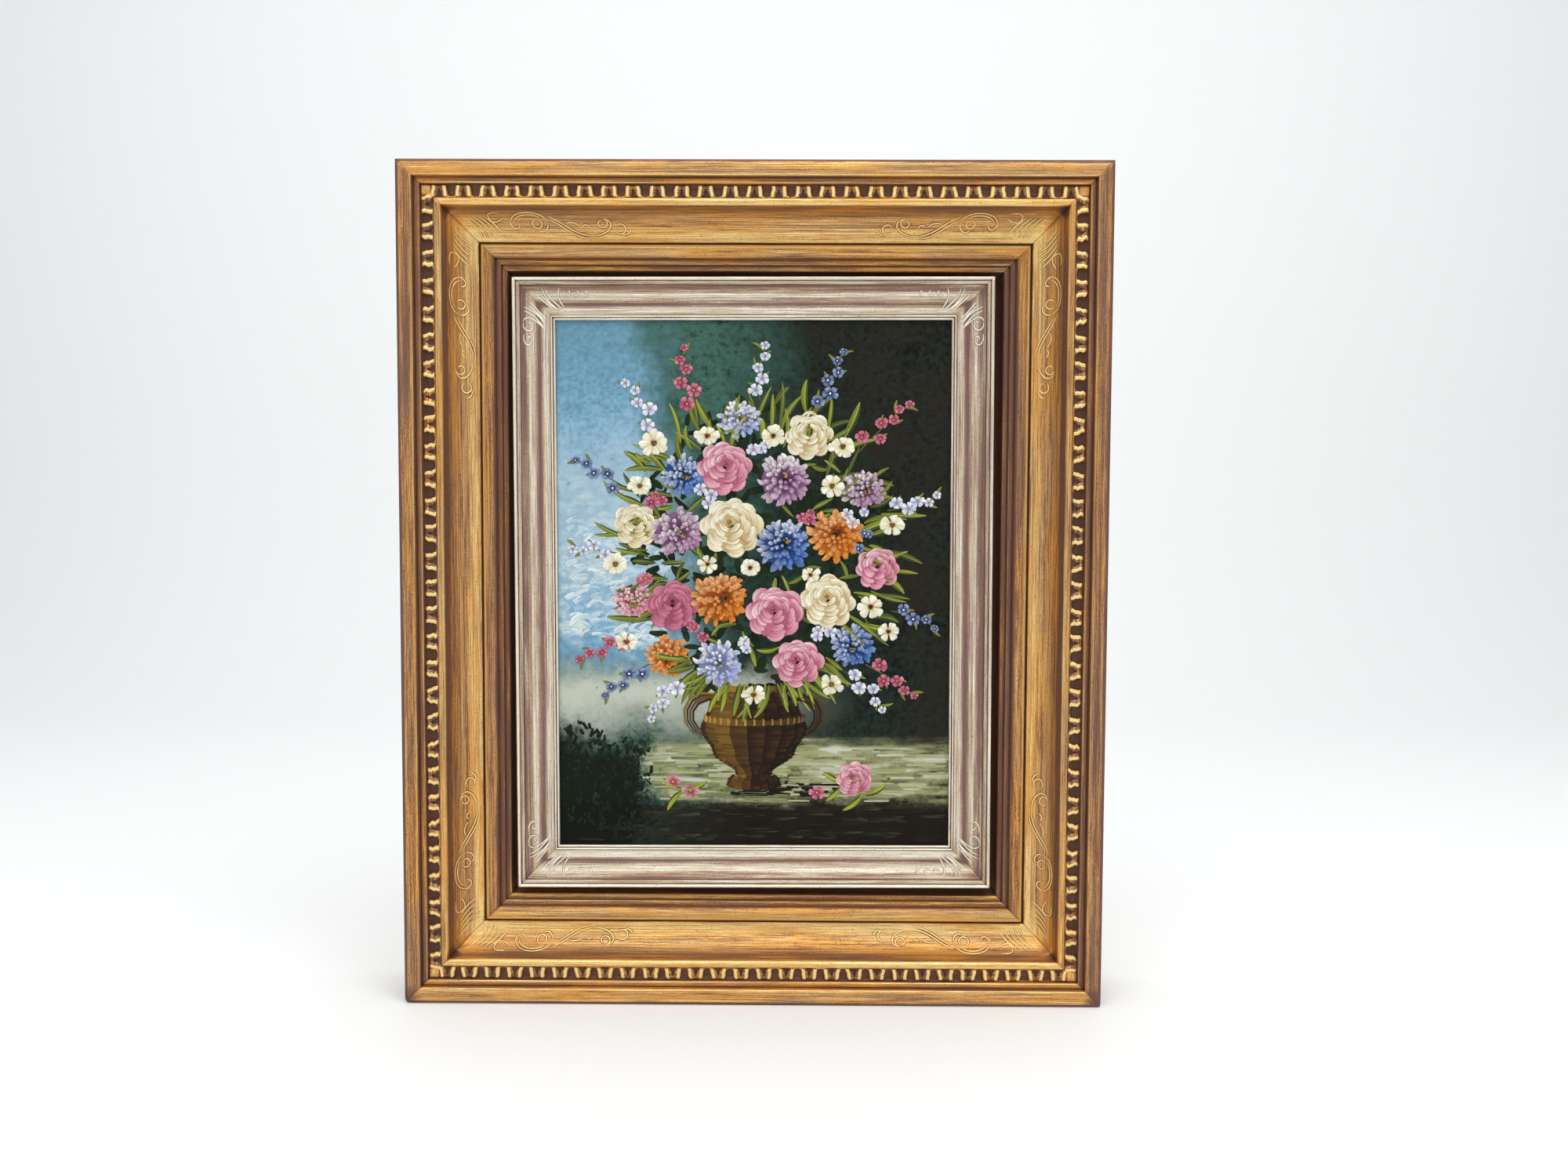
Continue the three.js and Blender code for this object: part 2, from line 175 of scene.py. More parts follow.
class BackColours(bpy.types.PropertyGroup):
    """Wood, linen and metal on the back."""

    pine: colour("Pine", "Planed stretcher bars", (206, 172, 122))
    linen: colour("Linen", "Unprimed canvas on the back", (188, 172, 138))
    zinc: colour("Zinc", "Plate on the turn plates and screws", (188, 190, 192))
    zinc_dull: colour("Dull zinc", "Oxide on the zinc", (128, 130, 132))
    brass: colour("Brass", "Plate on the hanger and nails", (214, 176, 96))
    brass_dull: colour("Dull brass", "Tarnish on the brass", (132, 98, 50))


# ---------------------------------------------------------------------- meshes

class Sheet:
    """A mesh of grid patches, with their place in the finish and in the bake map."""

    def __init__(self):
        self.bm = bmesh.new()
        self.rail = self.bm.verts.layers.float_vector.new("rail")
        self.tone = self.bm.verts.layers.float_color.new("tone")
        self.uv = self.bm.loops.layers.uv.new("OFBake")
        self.places = {}

    def patches(self, count, along, across, flip=False):
        """Lays count separate grids of along by across faces. Each comes back as a list of (vertex, u, v)."""
        columns = count * (along + 1)
        made = bmesh.ops.create_grid(self.bm, x_segments=columns - 1, y_segments=across, size=0.5)["verts"]
        column = {vert: i % columns for i, vert in enumerate(made)}
        joins = {
            edge
            for vert, at in column.items()
            if at % (along + 1) == along
            for edge in vert.link_edges
            if column[edge.other_vert(vert)] == at + 1
        }
        bmesh.ops.delete(self.bm, geom=list(joins), context="EDGES")
        if flip:
            faces = {face for vert in made for face in vert.link_faces}
            bmesh.ops.reverse_faces(self.bm, faces=list(faces))
        groups = [[] for _ in range(count)]
        for i, vert in enumerate(made):
            row, at = divmod(i, columns)
            patch, step = divmod(at, along + 1)
            groups[patch].append((vert, step / along, row / across))
        return groups

    def put(self, vert, place, bake, rail=(0, 0, 0), tone=(0, 0, 0), free=1.0):
        """Places a vertex. The alpha of its tone, free, is 0 at a mitre and 1 away from it."""
        vert.co = place
        vert[self.rail] = rail
        vert[self.tone] = (*tone, free)
        self.places[vert] = bake

    def lay_bake_map(self, faces=None):
        for face in faces or self.bm.faces:
            for loop in face.loops:
                loop[self.uv].uv = self.places[loop.vert]

    def piece(self, name, materials, nodes, smooth_faces=True):
        mesh = bpy.data.meshes.new(name)
        self.bm.to_mesh(mesh)
        self.bm.free()
        if smooth_faces:
            mesh.polygons.foreach_set("use_smooth", [True] * len(mesh.polygons))
        piece = bpy.data.objects.new(name, mesh)
        bpy.context.collection.objects.link(piece)
        for material in materials:
            mesh.materials.append(material)
        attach(piece, BODY)
        if nodes:
            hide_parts(*nodes)
        return piece


def cell(index, columns, low, high, u, v, rows=1):
    """A point of patch number index, in rows of cells between the heights low and high of the bake map."""
    row, column = divmod(index, columns)
    height = (high - low) / rows
    margin = 0.06
    return (
        (column + mix(margin, 1 - margin, u)) / columns,
        low + (row + mix(margin, 1 - margin, v)) * height,
    )


# ---------------------------------------------------------------------- sections of mouldings

class Section:
    """A moulding's outline as rows of (t, h, tone, wood), in millimetres. A tone is (grime with painted
    shade, burnish with painted highlight, bole).
    """

    def __init__(self, t, h, tone, wood=False):
        self.rows = [(t, h, tone, wood)]

    def line(self, t, h, tone, steps=1, wood=False):
        t0, h0, tone0, _ = self.rows[-1]
        for i in range(1, steps + 1):
            share = i / steps
            self.rows.append((mix(t0, t, share), mix(h0, h, share), blend(tone0, tone, share), wood))
        return self

    def swell(self, end, h, crown, tone, edge, steps=6):
        """A rounded swelling from here to end, with its own tone on top and another on both edges."""
        start = self.rows[-1][0]
        for i in range(1, steps + 1):
            share = i / steps
            arch = 4 * share * (1 - share)
            tone_here = blend(edge, tone, arch ** 0.5)
            self.rows.append((mix(start, end, share), h + crown * arch ** 0.8, tone_here, False))
        return self

    def bezier(self, first, second, end, tones, steps):
        """A smooth curve to end, whose tone passes through the given ones."""
        begin = self.rows[-1][:2]
        for i in range(1, steps + 1):
            u = i / steps
            t, h = bezier(begin, first, second, end)(u)
            at = u * (len(tones) - 1)
            k = min(int(at), len(tones) - 2)
            self.rows.append((t, h, blend(tones[k], tones[k + 1], at - k), False))
        return self

    def lengths(self):
        """The distance along the outline to each row."""
        total = [0.0]
        for (t0, h0, *_), (t1, h1, *_) in zip(self.rows, self.rows[1:]):
            total.append(total[-1] + math.hypot(t1 - t0, h1 - h0))
        return total


def bezier(*points):
    """A curve through the first and last point, pulled by those between, as a function of 0 to 1."""
    def at(u):
        layer = [tuple(point) for point in points]
        while len(layer) > 1:
            layer = [blend(a, b, u) for a, b in zip(layer, layer[1:])]
        return layer[0]
    return at


def arc(middle, radii, start, end):
    """Part of an ellipse, in degrees, as a function of 0 to 1."""
    def at(u):
        angle = math.radians(mix(start, end, u))
        return middle[0] + radii[0] * math.cos(angle), middle[1] + radii[1] * math.sin(angle)
    return at


def spiral(middle, outer, inner, start, end):
    """A coil that tightens from one radius to another, in degrees, as a function of 0 to 1."""
    def at(u):
        angle, radius = math.radians(mix(start, end, u)), mix(outer, inner, u)
        return middle[0] + radius * math.cos(angle), middle[1] + radius * math.sin(angle)
    return at


class Rail:
    """One mitred length of a moulding, and where its points lie."""

    def __init__(self, side, section, size, middle, back_y, turn=0.0, seed=0, cove=(0.0, 0.0)):
        self.side, self.section, self.seed, self.cove = side, section, seed, cove
        self.cove_rows = [row for row in section.rows if cove[0] <= row[0] <= cove[1] and row[1] > 18.6]
        number = SIDES.index(side)
        width, height = size
        self.half = (width if number % 2 == 0 else height) / 2
        self.across = (height if number % 2 == 0 else width) / 2
        self.matrix = Matrix.Translation((middle.x, back_y, middle.z)) @ Matrix.Rotation(
            turn + number * math.pi / 2, 4, "Y"
        )

    def world(self, x, t, h):
        return self.matrix @ Vector((x * MM, -h * MM, (self.across - t) * MM))

    def surface(self, x, s, lift, rows, lengths):
        """The point lift above the outline at a distance s along it, measured between the given rows."""
        k = next((i for i in rows if lengths[i + 1] >= s), rows[-1])
        (t0, h0, *_), (t1, h1, *_) = self.section.rows[k], self.section.rows[k + 1]
        step = lengths[k + 1] - lengths[k]
        share = (s - lengths[k]) / step
        t, h = mix(t0, t1, share), mix(h0, h1, share)
        return self.world(x, t - (h1 - h0) / step * lift, h + (t1 - t0) / step * lift)


def body_of(rail, sheet, columns, wear, bake_height, cap_row):
    """The swept body of a rail, closed at both mitres."""
    rows = rail.section.rows
    lengths = rail.section.lengths()
    total = lengths[-1]
    (grid,) = sheet.patches(1, columns, len(rows) - 1, flip=True)
    for vert, u, v in grid:
        k = round(v * (len(rows) - 1))
        t, h, tone, _ = rows[k]
        share = 2 * u - 1
        share = mix(share, math.sin(share * math.pi / 2), 0.45)
        x = share * (rail.half - t)
        place, tone = wear(rail, x, t, h, lengths[k], tone)
        free = smooth(rail.half - t - abs(x), 0, 3)
        sheet.put(vert, place, (u, v * bake_height), (x * MM, lengths[k] * MM, rail.seed), tone, free)
    sheet.lay_bake_map()
    wood = [k for k in range(len(rows) - 1) if rows[k][3] and rows[k + 1][3]]
    limits = {round(k / (len(rows) - 1), 6) for k in wood}
    heights = {vert: v for vert, _, v in grid}
    for face in sheet.bm.faces:
        if round(min(heights[vert] for vert in face.verts), 6) in limits:
            face.material_index = 1
    bmesh.ops.remove_doubles(sheet.bm, verts=sheet.bm.verts, dist=0.002 * MM)
    rims = [edge for edge in sheet.bm.edges if edge.is_boundary]
    caps = bmesh.ops.holes_fill(sheet.bm, edges=rims, sides=0)["faces"]
    low, high = cap_row
    deepest = max(row[1] for row in rows)
    widest = max(row[0] for row in rows)
    back = rail.matrix.inverted()
    for number, face in enumerate(caps):
        face.material_index = 1
        for loop in face.loops:
            local = back @ loop.vert.co
            across = (rail.across - local.z / MM) / widest
            loop[sheet.uv].uv = (0.52 + number * 0.24 + 0.2 * across, mix(low, high, -local.y / MM / deepest))
    return total


def lines_on(rail, sheet, paths, rows, cells, low, high, line):
    """Tooled lines on a rail: each path is a function to (x, s) with s measured from the first row."""
    lengths = rail.section.lengths()
    start = lengths[rows[0]]
    heights = (-0.06, 0.04, 0.25, 0.4, 0.25, 0.04, -0.06)
    tones = ((0.45, 0.1, 0.3), (1.1, 0.0, 0.3), (0.1, 0.8, 0.0), (0.0, 1.5, 0.0))
    tones += tones[2::-1]
    across = len(heights) - 1
    groups = sheet.patches(len(paths), 26, across, flip=True)
    step = 0.01
    for number, (path, group) in enumerate(zip(paths, groups)):
        for vert, u, v in group:
            here = path(u)
            before, after = path(max(0, u - step)), path(min(1, u + step))
            away = Vector((before[1] - after[1], after[0] - before[0])).normalized()
            taper = 0.35 + 0.65 * min(1, 6 * u, 6 * (1 - u))
            offset = (v - 0.5) * line * taper
            k = round(v * across)
            x, s = here[0] + away.x * offset, here[1] + away.y * offset
            place = rail.surface(x, start + s, heights[k] * taper, rows, lengths)
            bake = cell(number, cells, low, high, u, v, rows=math.ceil(len(paths) / cells))
            sheet.put(vert, place, bake, (x * MM, (start + s) * MM, rail.seed), tones[k])


# ---------------------------------------------------------------------- shader maths

class Value:
    """A number socket. Arithmetic on it adds Math nodes."""

    def __init__(self, shader, socket):
        self.shader, self.socket = shader, socket

    def _with(self, operation, first, second):
        made = self.shader.node("ShaderNodeMath", {"operation": operation}, {0: first, 1: second})
        return Value(self.shader, made.outputs[0])

    def __add__(self, other):
        return self._with("ADD", self, other)

    def __sub__(self, other):
        return self._with("SUBTRACT", self, other)

    def __mul__(self, other):
        return self._with("MULTIPLY", self, other)

    def __truediv__(self, other):
        return self._with("DIVIDE", self, other)

    def __pow__(self, other):
        return self._with("POWER", self, other)

    def __radd__(self, other):
        return self._with("ADD", other, self)

    def __rsub__(self, other):
        return self._with("SUBTRACT", other, self)

    def __rmul__(self, other):
        return self._with("MULTIPLY", other, self)

    def __rtruediv__(self, other):
        return self._with("DIVIDE", other, self)

    def sine(self):
        return self._with("SINE", self, 0.0)

    def least(self, other):
        return self._with("MINIMUM", self, other)

    def most(self, other):
        return self._with("MAXIMUM", self, other)

    def step(self, low, high):
        """0 below low, 1 above high and smooth between them; turned round when low is above high."""
        ends = (low, high, 0.0, 1.0) if low < high else (high, low, 1.0, 0.0)
        made = self.shader.node(
            "ShaderNodeMapRange",
            {"interpolation_type": "SMOOTHSTEP"},
            {"Value": self, "From Min": ends[0], "From Max": ends[1], "To Min": ends[2], "To Max": ends[3]},
        )
        return Value(self.shader, made.outputs[0])


class Shader:
    """A material under construction, on one Principled shader."""

    def __init__(self, name, **even):
        self.material = bpy.data.materials.new(name)
        self.material.use_nodes = True
        self.tree = self.material.node_tree
        self.tree.nodes.clear()
        self.surface = self.node("ShaderNodeBsdfPrincipled", {}, even)
        output = self.node("ShaderNodeOutputMaterial", {}, {"Surface": self.surface.outputs[0]})
        output.is_active_output = True

    def node(self, kind, settings=None, sockets=None):
        made = self.tree.nodes.new(kind)
        for name, value in (settings or {}).items():
            setattr(made, name, value)
        for name, value in (sockets or {}).items():
            self.feed(made.inputs[name], value)
        return made

    def feed(self, socket, value):
        if isinstance(value, Value):
            value = value.socket
        if isinstance(value, bpy.types.NodeSocket):
            self.tree.links.new(value, socket)
        elif socket.type == "RGBA" and len(value) == 3:
            socket.default_value = (*value, 1)
        else:
            socket.default_value = value

    def attribute(self, name):
        return self.node("ShaderNodeAttribute", {"attribute_name": name}, {})

    def parts(self, vector):
        split = self.node("ShaderNodeSeparateXYZ", {}, {0: vector})
        return [Value(self, socket) for socket in split.outputs]

    def object_place(self):
        return self.node("ShaderNodeTexCoord").outputs["Object"]

    def stretched(self, vector, scale, shift=(0, 0, 0)):
        return self.node(
            "ShaderNodeVectorMath", {"operation": "MULTIPLY_ADD"}, {0: vector, 1: scale, 2: shift}
        ).outputs[0]

    def noise(self, vector, scale=1.0, detail=3.0, rough=0.55):
        made = self.node(
            "ShaderNodeTexNoise", {}, {"Vector": vector, "Scale": scale, "Detail": detail, "Roughness": rough}
        )
        return Value(self, made.outputs[0])

    def specks(self, vector, scale, radius, share):
        """Round dots of the given radius in cells, in that share of the cells."""
        made = self.node("ShaderNodeTexVoronoi", {}, {"Vector": vector, "Scale": scale})
        near = Value(self, made.outputs["Distance"]).step(radius, radius * 0.6)
        chosen = Value(self, self.parts(made.outputs["Color"])[0].socket)
        return near * chosen.step(share + 0.02, share)

    def mix(self, share, first, second, how="MIX"):
        made = self.node(
            "ShaderNodeMix", {"data_type": "RGBA", "blend_type": how}, {0: share, 6: first, 7: second}
        )
        return made.outputs[2]

    def bump(self, height, distance, strength=1.0, normal=None):
        links = {"Height": height, "Distance": distance, "Strength": strength}
        if normal is not None:
            links["Normal"] = normal
        return self.node("ShaderNodeBump", {}, links).outputs[0]

    def set(self, **sockets):
        for name, value in sockets.items():
            self.feed(self.surface.inputs[name.replace("_", " ").title()], value)
        return self.material


def leafed_wood(name, colours, streak_width):
    """Metal leaf over clay: combed along the rail, rubbed, toned dark in the recesses and speckled, with
    painted shade and painted highlights carried by the tone's first two shares.
    """
    light, leaf, deep, clay, dull, ash, grime = colours
    s = Shader(name, **{"IOR": 1.5})
    rail = s.attribute("rail").outputs["Vector"]
    painted = s.attribute("tone")
    grime_and_shade, burnish_and_highlight, bole = s.parts(painted.outputs["Vector"])
    free = Value(s, painted.outputs["Alpha"])
    across = 1 / (streak_width * MM)

    def combed(along, wide, seed, detail=3, rough=0.6):
        place = s.stretched(rail, (along, across * wide, 7), (0, 0, seed))
        field = s.noise(place, detail=detail, rough=rough)
        return (field - 0.5) * free

    reed = combed(5, 0.55, 0, 5, 0.8)
    streak = combed(28, 1.3, 3)
    comb = combed(85, 2.8, 6, 2)
    gleam = combed(9, 0.8, 9, 5, 0.8)
    patch = combed(16, 0.2, 12)
    cloud = s.noise(s.stretched(rail, (12, 85, 3)), detail=3) - 0.5
    grain = s.noise(s.stretched(rail, (700, 1500, 5)), detail=4, rough=0.75) - 0.5
    worn = reed * 1.1 + streak * 1.0 + comb * 0.9 + patch * 0.5 + grain * 0.9 + bole * 0.26 - burnish_and_highlight * 0.16
    rubbed = worn.step(0.1, 0.26)
    deepened = (
        patch * 1.2 + cloud * 0.9 + comb * 0.7 + reed * 0.7 + grime_and_shade * 0.5 - burnish_and_highlight * 0.3
    ).step(-0.08, 0.34)
    tone = s.mix(deepened, leaf, deep)
    dusted = (cloud * 1.5 + patch * 0.9 + comb * 0.6 + bole * 0.3).step(-0.02, 0.3)
    tone = s.mix(dusted * 0.62, tone, dull)
    # Clay shows where the leaf is rubbed through, and also as painted side shade.
    tone = s.mix(rubbed * 0.86, tone, clay)
    lustre = gleam * 1.6 + comb * 1.1 - streak * 0.5 + grain * 0.7 + cloud * 0.4
    # Burnish and painted highlights both push the leaf towards the highlight colour.
    shine = (lustre + burnish_and_highlight * 0.5 - bole * 0.08 - grime_and_shade * 0.5).step(0.08, 0.4)
    tone = s.mix(shine * (1 - rubbed * 0.5), tone, light)
    # The ash wash also deepens with painted shade.
    washed = (grime_and_shade * 0.75 + bole * 0.42 + cloud * 1.1 + reed * 0.9 - burnish_and_highlight * 0.8).step(0.26, 0.74)
    tone = s.mix(washed * 0.68, tone, ash)
    # Grime in the recesses and painted shade both darken towards the grime colour.
    grime_and_shade_mask = (grime_and_shade + comb * 0.5 + grain * 0.4 + streak * 0.4).step(0.6, 1.08)
    tone = s.mix(grime_and_shade_mask * 0.82, tone, grime)
    spread = (cloud + 0.1).step(-0.08, 0.12)
    dots = s.specks(s.stretched(rail, (800, 860, 5)), 1.0, 0.27, 0.16) * spread
    tone = s.mix(dots * 0.8, tone, grime)
    covered = (rubbed + grime_and_shade_mask + dots).least(1.0)
    height = reed * 0.9 + streak * 0.6 + comb * 0.35 + grain * 0.25 - dots * 0.2 - rubbed * 0.15
    return s.set(
        base_color=tone,
        metallic=0.6 - covered * 0.5,
        roughness=0.36 + covered * 0.24 + comb * 0.2,
        normal=s.bump(height, 0.3 * MM, 0.8),
    )


def bare_wood(name, tint):
    """Planed softwood with its grain along the rail."""
    s = Shader(name, **{"IOR": 1.45})
    rail = s.attribute("rail").outputs["Vector"]
    bend = s.noise(s.stretched(rail, (6, 40, 11)), detail=2)
    rings = ((s.parts(rail)[1] * 900 + bend * 9) * 1.6).sine() * 0.5 + 0.5
    fibre = s.noise(s.stretched(rail, (60, 5200, 9)), detail=3)
    dark = tuple(channel * 0.52 for channel in tint)
    stain = s.noise(s.stretched(rail, (10, 60, 5)), detail=3)
    tone = s.mix((rings * 0.55 + fibre * 0.5 - 0.15).step(0.1, 1.0) * 0.75, tint, dark)
    tone = s.mix(stain.step(0.5, 0.75) * 0.35, tone, tuple(channel * 0.4 for channel in tint))
    return s.set(
        base_color=tone, roughness=0.66 + fibre * 0.2, normal=s.bump(fibre * 0.6 + rings * 0.3, 0.1 * MM, 0.6)
    )


def metal(name, tint, dull, roughness):
    """Plated metal, brushed and a little tarnished."""
    s = Shader(name, Metallic=0.9)
    place = s.object_place()
    brushed = s.noise(s.stretched(place, (260, 4000, 4000)), detail=2)
    tarnish = s.noise(place, scale=190, detail=4)
    tone = s.mix(tarnish.step(0.45, 0.72) * 0.7, tint, dull)
    return s.set(
        base_color=tone,
        roughness=roughness + tarnish * 0.25 + brushed * 0.1,
        normal=s.bump(brushed, 0.03 * MM, 0.5),
    )


# ---------------------------------------------------------------------- the outer frame

SIDE = (0.2, 0.1, 0.55)
EDGE = (0.4, 0.0, 1.3)
FILLET = (0.02, 0.2, 0.42)
# Steep walls: toning, with painted shade that darkens them as if out of the light.
WALL = (0.5, 0.0, 0.5)
GROOVE = (0.82, 0.0, 0.3)
STEP = (0.3, 0.1, 0.35)
STEP_EDGE = (0.1, 0.75, 0.1)
GROUND = (0.85, 0.0, 0.6)
RIDGE = (0.0, 0.5, 0.05)
BRIGHT = (0.0, 1.0, 0.0)
# The steep drop under the ridge and before the torus, and the first cove tones: toning, with painted shade
# where the cove leaves the ridge.
DROP = (0.34, 0.0, 0.4)
COVE_TONES = (
    (0.14, 0.0, 0.35), (0.05, 0.1, 0.45), (0.0, 0.3, 0.5), (0.0, 0.3, 0.65), (0.0, 0.5, 0.2), (0.0, 0.5, 0.1)
)
TORUS = (0.02, 0.3, 0.3)
# Painted highlight on the torus's outer shoulder, over burnished leaf, strong enough to show at full light on
# every rail.
SHOULDER_HIGHLIGHT = (0.0, 1.9, 0.0)
LIP = (0.18, 0.1, 0.7)
LIP_EDGE = (0.1, 0.55, 0.3)
SHADE = (1.0, 0.0, 0.0)
GAP_WALL = (0.4, 0.1, 1.0)
WOOD = (0.0, 0.0, 0.0)

BAND_TOP = 41.6
BAND = (12.75, 19.35)
COVE_START, COVE_END = (24.6, 34.4), (38.7, 22.0)
RAIL_WIDTH = 73.0


def outer_section(relief):
    ground = BAND_TOP - relief
    made = Section(0.4, 0.0, WOOD, wood=True)
    made.line(0.0, 0.4, SIDE, wood=True)
    made.line(0.0, 44.1, SIDE, steps=8)
    made.line(0.35, 45.1, EDGE).line(1.2, 45.5, EDGE)
    made.swell(8.6, 45.4, 0.5, FILLET, STEP_EDGE, steps=8)
    made.line(8.85, 44.9, STEP).line(8.95, 41.8, WALL).line(9.15, 41.6, GROOVE).line(9.35, 42.4, STEP_EDGE)
    made.swell(12.0, 42.5, 0.55, STEP, STEP_EDGE, steps=6)
    made.line(12.25, 41.9, WALL).line(12.4, 40.4, WALL).line(12.7, ground, GROUND)
    made.line(19.2, ground, GROUND, steps=4)
    made.line(19.35, 40.7, GROOVE).line(19.55, 41.3, STEP)
    made.swell(22.8, 41.4, 0.55, RIDGE, BRIGHT, steps=6)
    made.line(23.15, 40.9, BRIGHT).line(23.4, 39.6, DROP)
    made.line(*COVE_START, DROP, steps=3)
    made.bezier((26.1, 28.2), (31.9, 23.0), COVE_END, COVE_TONES, 24)
    made.line(38.95, 21.3, GROOVE).line(39.3, 20.6, GROOVE).line(39.9, 20.7, GROOVE).line(40.1, 22.2, DROP)
    # The torus's outer shoulder carries a painted highlight.
    made.line(40.3, 23.0, SHOULDER_HIGHLIGHT).line(41.1, 24.0, SHOULDER_HIGHLIGHT).line(42.2, 24.5, TORUS)
    made.bezier((44.5, 25.1), (46.6, 24.2), (47.4, 22.9), (TORUS, TORUS, STEP), 8)
    made.line(47.6, 22.2, WALL).line(47.7, 20.3, GROOVE).line(48.0, 20.9, LIP_EDGE)
    made.swell(50.6, 20.9, 0.5, LIP, LIP_EDGE, steps=5)
    made.line(50.75, 20.3, WALL).line(50.9, 18.6, GROOVE).line(51.2, 19.2, LIP_EDGE)
    made.swell(53.6, 19.3, 0.45, LIP, LIP_EDGE, steps=5)
    made.line(54.0, 18.8, GAP_WALL).line(54.0, 14.0, GAP_WALL, steps=2).line(54.0, 10.0, SHADE)
    made.line(RAIL_WIDTH, 10.0, SHADE, steps=4)
    made.line(RAIL_WIDTH, 0.4, WOOD, steps=2, wood=True).line(RAIL_WIDTH - 0.4, 0.0, WOOD, wood=True)
    made.line(0.4, 0.0, WOOD, steps=10, wood=True)
    return made


def rounded_corner(place, radius, sign_x, sign_z):
    """Wears the frame's outer corner on one side down to a radius."""
    corner_x = FRAME_HIGH.x if sign_x > 0 else FRAME_LOW.x
    corner_z = FRAME_HIGH.z if sign_z > 0 else FRAME_LOW.z
    off = Vector((place.x - corner_x + sign_x * radius, 0, place.z - corner_z + sign_z * radius))
    if off.x * sign_x > 0 and off.z * sign_z > 0 and off.length > radius:
        off = off.normalized() * radius - off
        return place + off
    return place


# Painted side shade: how far each outer rail is darkened for the way the light falls on it.
PAINTED_SIDE_SHADE = {"left": 0.5, "right": 0.56, "top": 0.06, "bottom": 0.0}
MITRE_FILL = 8.0
CARVED_HEIGHT = 18.0
SHOWING_HEIGHT = 12.0
CORNER_WEAR = {(-1, -1): 4.0, (1, -1): 2.2, (-1, 1): 0.9, (1, 1): 0.9}


def height_at(rows, t):
    """The height of an outline at t, where it has only one."""
    for (t0, h0, *_), (t1, h1, *_) in zip(rows, rows[1:]):
        if t0 <= t <= t1 and t1 > t0:
            return mix(h0, h1, (t - t0) / (t1 - t0))
    raise ValueError(f"the outline has no height at {t}")


def filled_mitre(rail, t, h, end, reach):
    """The height in a cove whose mitre is filled out to a soft valley, at a distance end from the mitre."""
    start, stop = rail.cove
    if not start < t < stop or end >= reach:
        return h
    return height_at(rail.cove_rows, max(start, t - reach / 4 * (1 - end / reach) ** 2))


def outer_wear(rail, x, t, h, s, tone):
    """Hand finish: a slight wave along the rail and worn outer corners, with painted shade on the rails that
    lie in less light, and painted shade and a painted highlight in the cove where the mouldings meet.
    """
    grime_and_shade, burnish_and_highlight, bole = tone
    end = rail.half - t - abs(x)
    free = smooth(end, 0, 8)
    wave = noise.noise(Vector((x * 0.05, s * 0.35, rail.seed * 9.1)))
    chip = noise.noise(Vector((x * 0.4, s * 1.1, rail.seed * 3.7)))
    h = filled_mitre(rail, t, h, end, MITRE_FILL) if h > CARVED_HEIGHT else h
    if 0 < t < 56 and h > SHOWING_HEIGHT:
        h += (wave * 0.09 + chip * 0.03) * free
        t += noise.noise(Vector((x * 0.08, s * 0.2, rail.seed * 5.3))) * 0.07 * free
    place = rail.world(x, t, h)
    for (sign_x, sign_z), radius in CORNER_WEAR.items():
        place = rounded_corner(place, radius * MM, sign_x, sign_z)
    # Painted side shade: rails in less light get more clay and grime and less burnish, less so in the cove.
    if h > SHOWING_HEIGHT and t > 0.3:
        side_shade = PAINTED_SIDE_SHADE[rail.side] * (0.35 if COVE_START[0] < t < COVE_END[0] else 1.0)
        bole += 0.95 * side_shade
        grime_and_shade += 0.3 * side_shade
        burnish_and_highlight *= 1 - 0.6 * side_shade
    # Painted shade deep in the cove towards each mitre, stronger at the top right and bottom left, and a
    # painted highlight on the cove's shallower part there; the clay fades out near the mitres.
    corner_shade = 1 - smooth(end, 0, 7)
    if COVE_START[0] - 2 < t < COVE_END[0]:
        depth = 1 - smooth(t, COVE_START[0], COVE_END[0] - 3)
        bole *= smooth(end, 2, 24)
        # Painted highlight: the shallower cove glows towards the mitres.
        burnish_and_highlight += 0.35 * (1 - smooth(end, 4, 22)) * (1 - depth)
        corner = (place.x - FRAME_MIDDLE.x) * (place.z - FRAME_MIDDLE.z) > 0
        grime_and_shade += corner_shade * depth * (0.75 if corner else 0.4)
    low_left = math.hypot(place.x - FRAME_LOW.x, place.z - FRAME_LOW.z) / MM
    low_right = math.hypot(place.x - FRAME_HIGH.x, place.z - FRAME_LOW.z) / MM
    if t < 12:
        grime_and_shade += 0.75 * (1 - smooth(low_left, 2, 11))
        bole += 1.3 * (1 - smooth(low_right, 2, 13))
        burnish_and_highlight -= 0.6 * (1 - smooth(min(low_left, low_right), 2, 12))
    return place, (min(1, grime_and_shade), max(0, burnish_and_highlight), bole)


LEAF_CAP = (0.22, 0.2, 0.95)
LEAF_HOLLOW = (0.9, 0.0, 0.6)


def leaf_stations(half, q, sizes):
    """Half a leaf's outline, q of the way to its tip: (distance in from the flank, height, tone)."""
    rib, relief = sizes.rib / MM, sizes.relief / MM
    tip = sizes.tip / MM / (BAND[1] - BAND[0])
    opening = (half - rib * 0.96) * (1 - smooth(q, -0.25, 1.15 - tip))
    crest = min(rib, half - opening - 0.1)
    bed = relief - sizes.hollow / MM
    stations = [
        (0.0, -0.1, (0.9, 0.0, 0.4)),
        (0.35, relief * 0.82, (0.1, 0.7, 0.2)),
        (0.9, relief, (0.0, 1.3, 0.0)),
        (crest - 0.3, relief - 0.05, (0.0, 1.3, 0.0)),
        (crest, relief - 0.35, LEAF_CAP),
        (half - opening, relief - 0.45, LEAF_CAP),
        (half - opening * 0.72, bed, LEAF_HOLLOW),
        (half, bed, LEAF_HOLLOW),
    ]
    cap = smooth(q, 1 - tip - 0.12, 1 - tip + 0.02)
    return [
        (away, mix(height, relief - 0.5, cap), blend(tone, LEAF_CAP, cap)) if i > 3 else (away, height, tone)
        for i, (away, height, tone) in enumerate(stations)
    ]


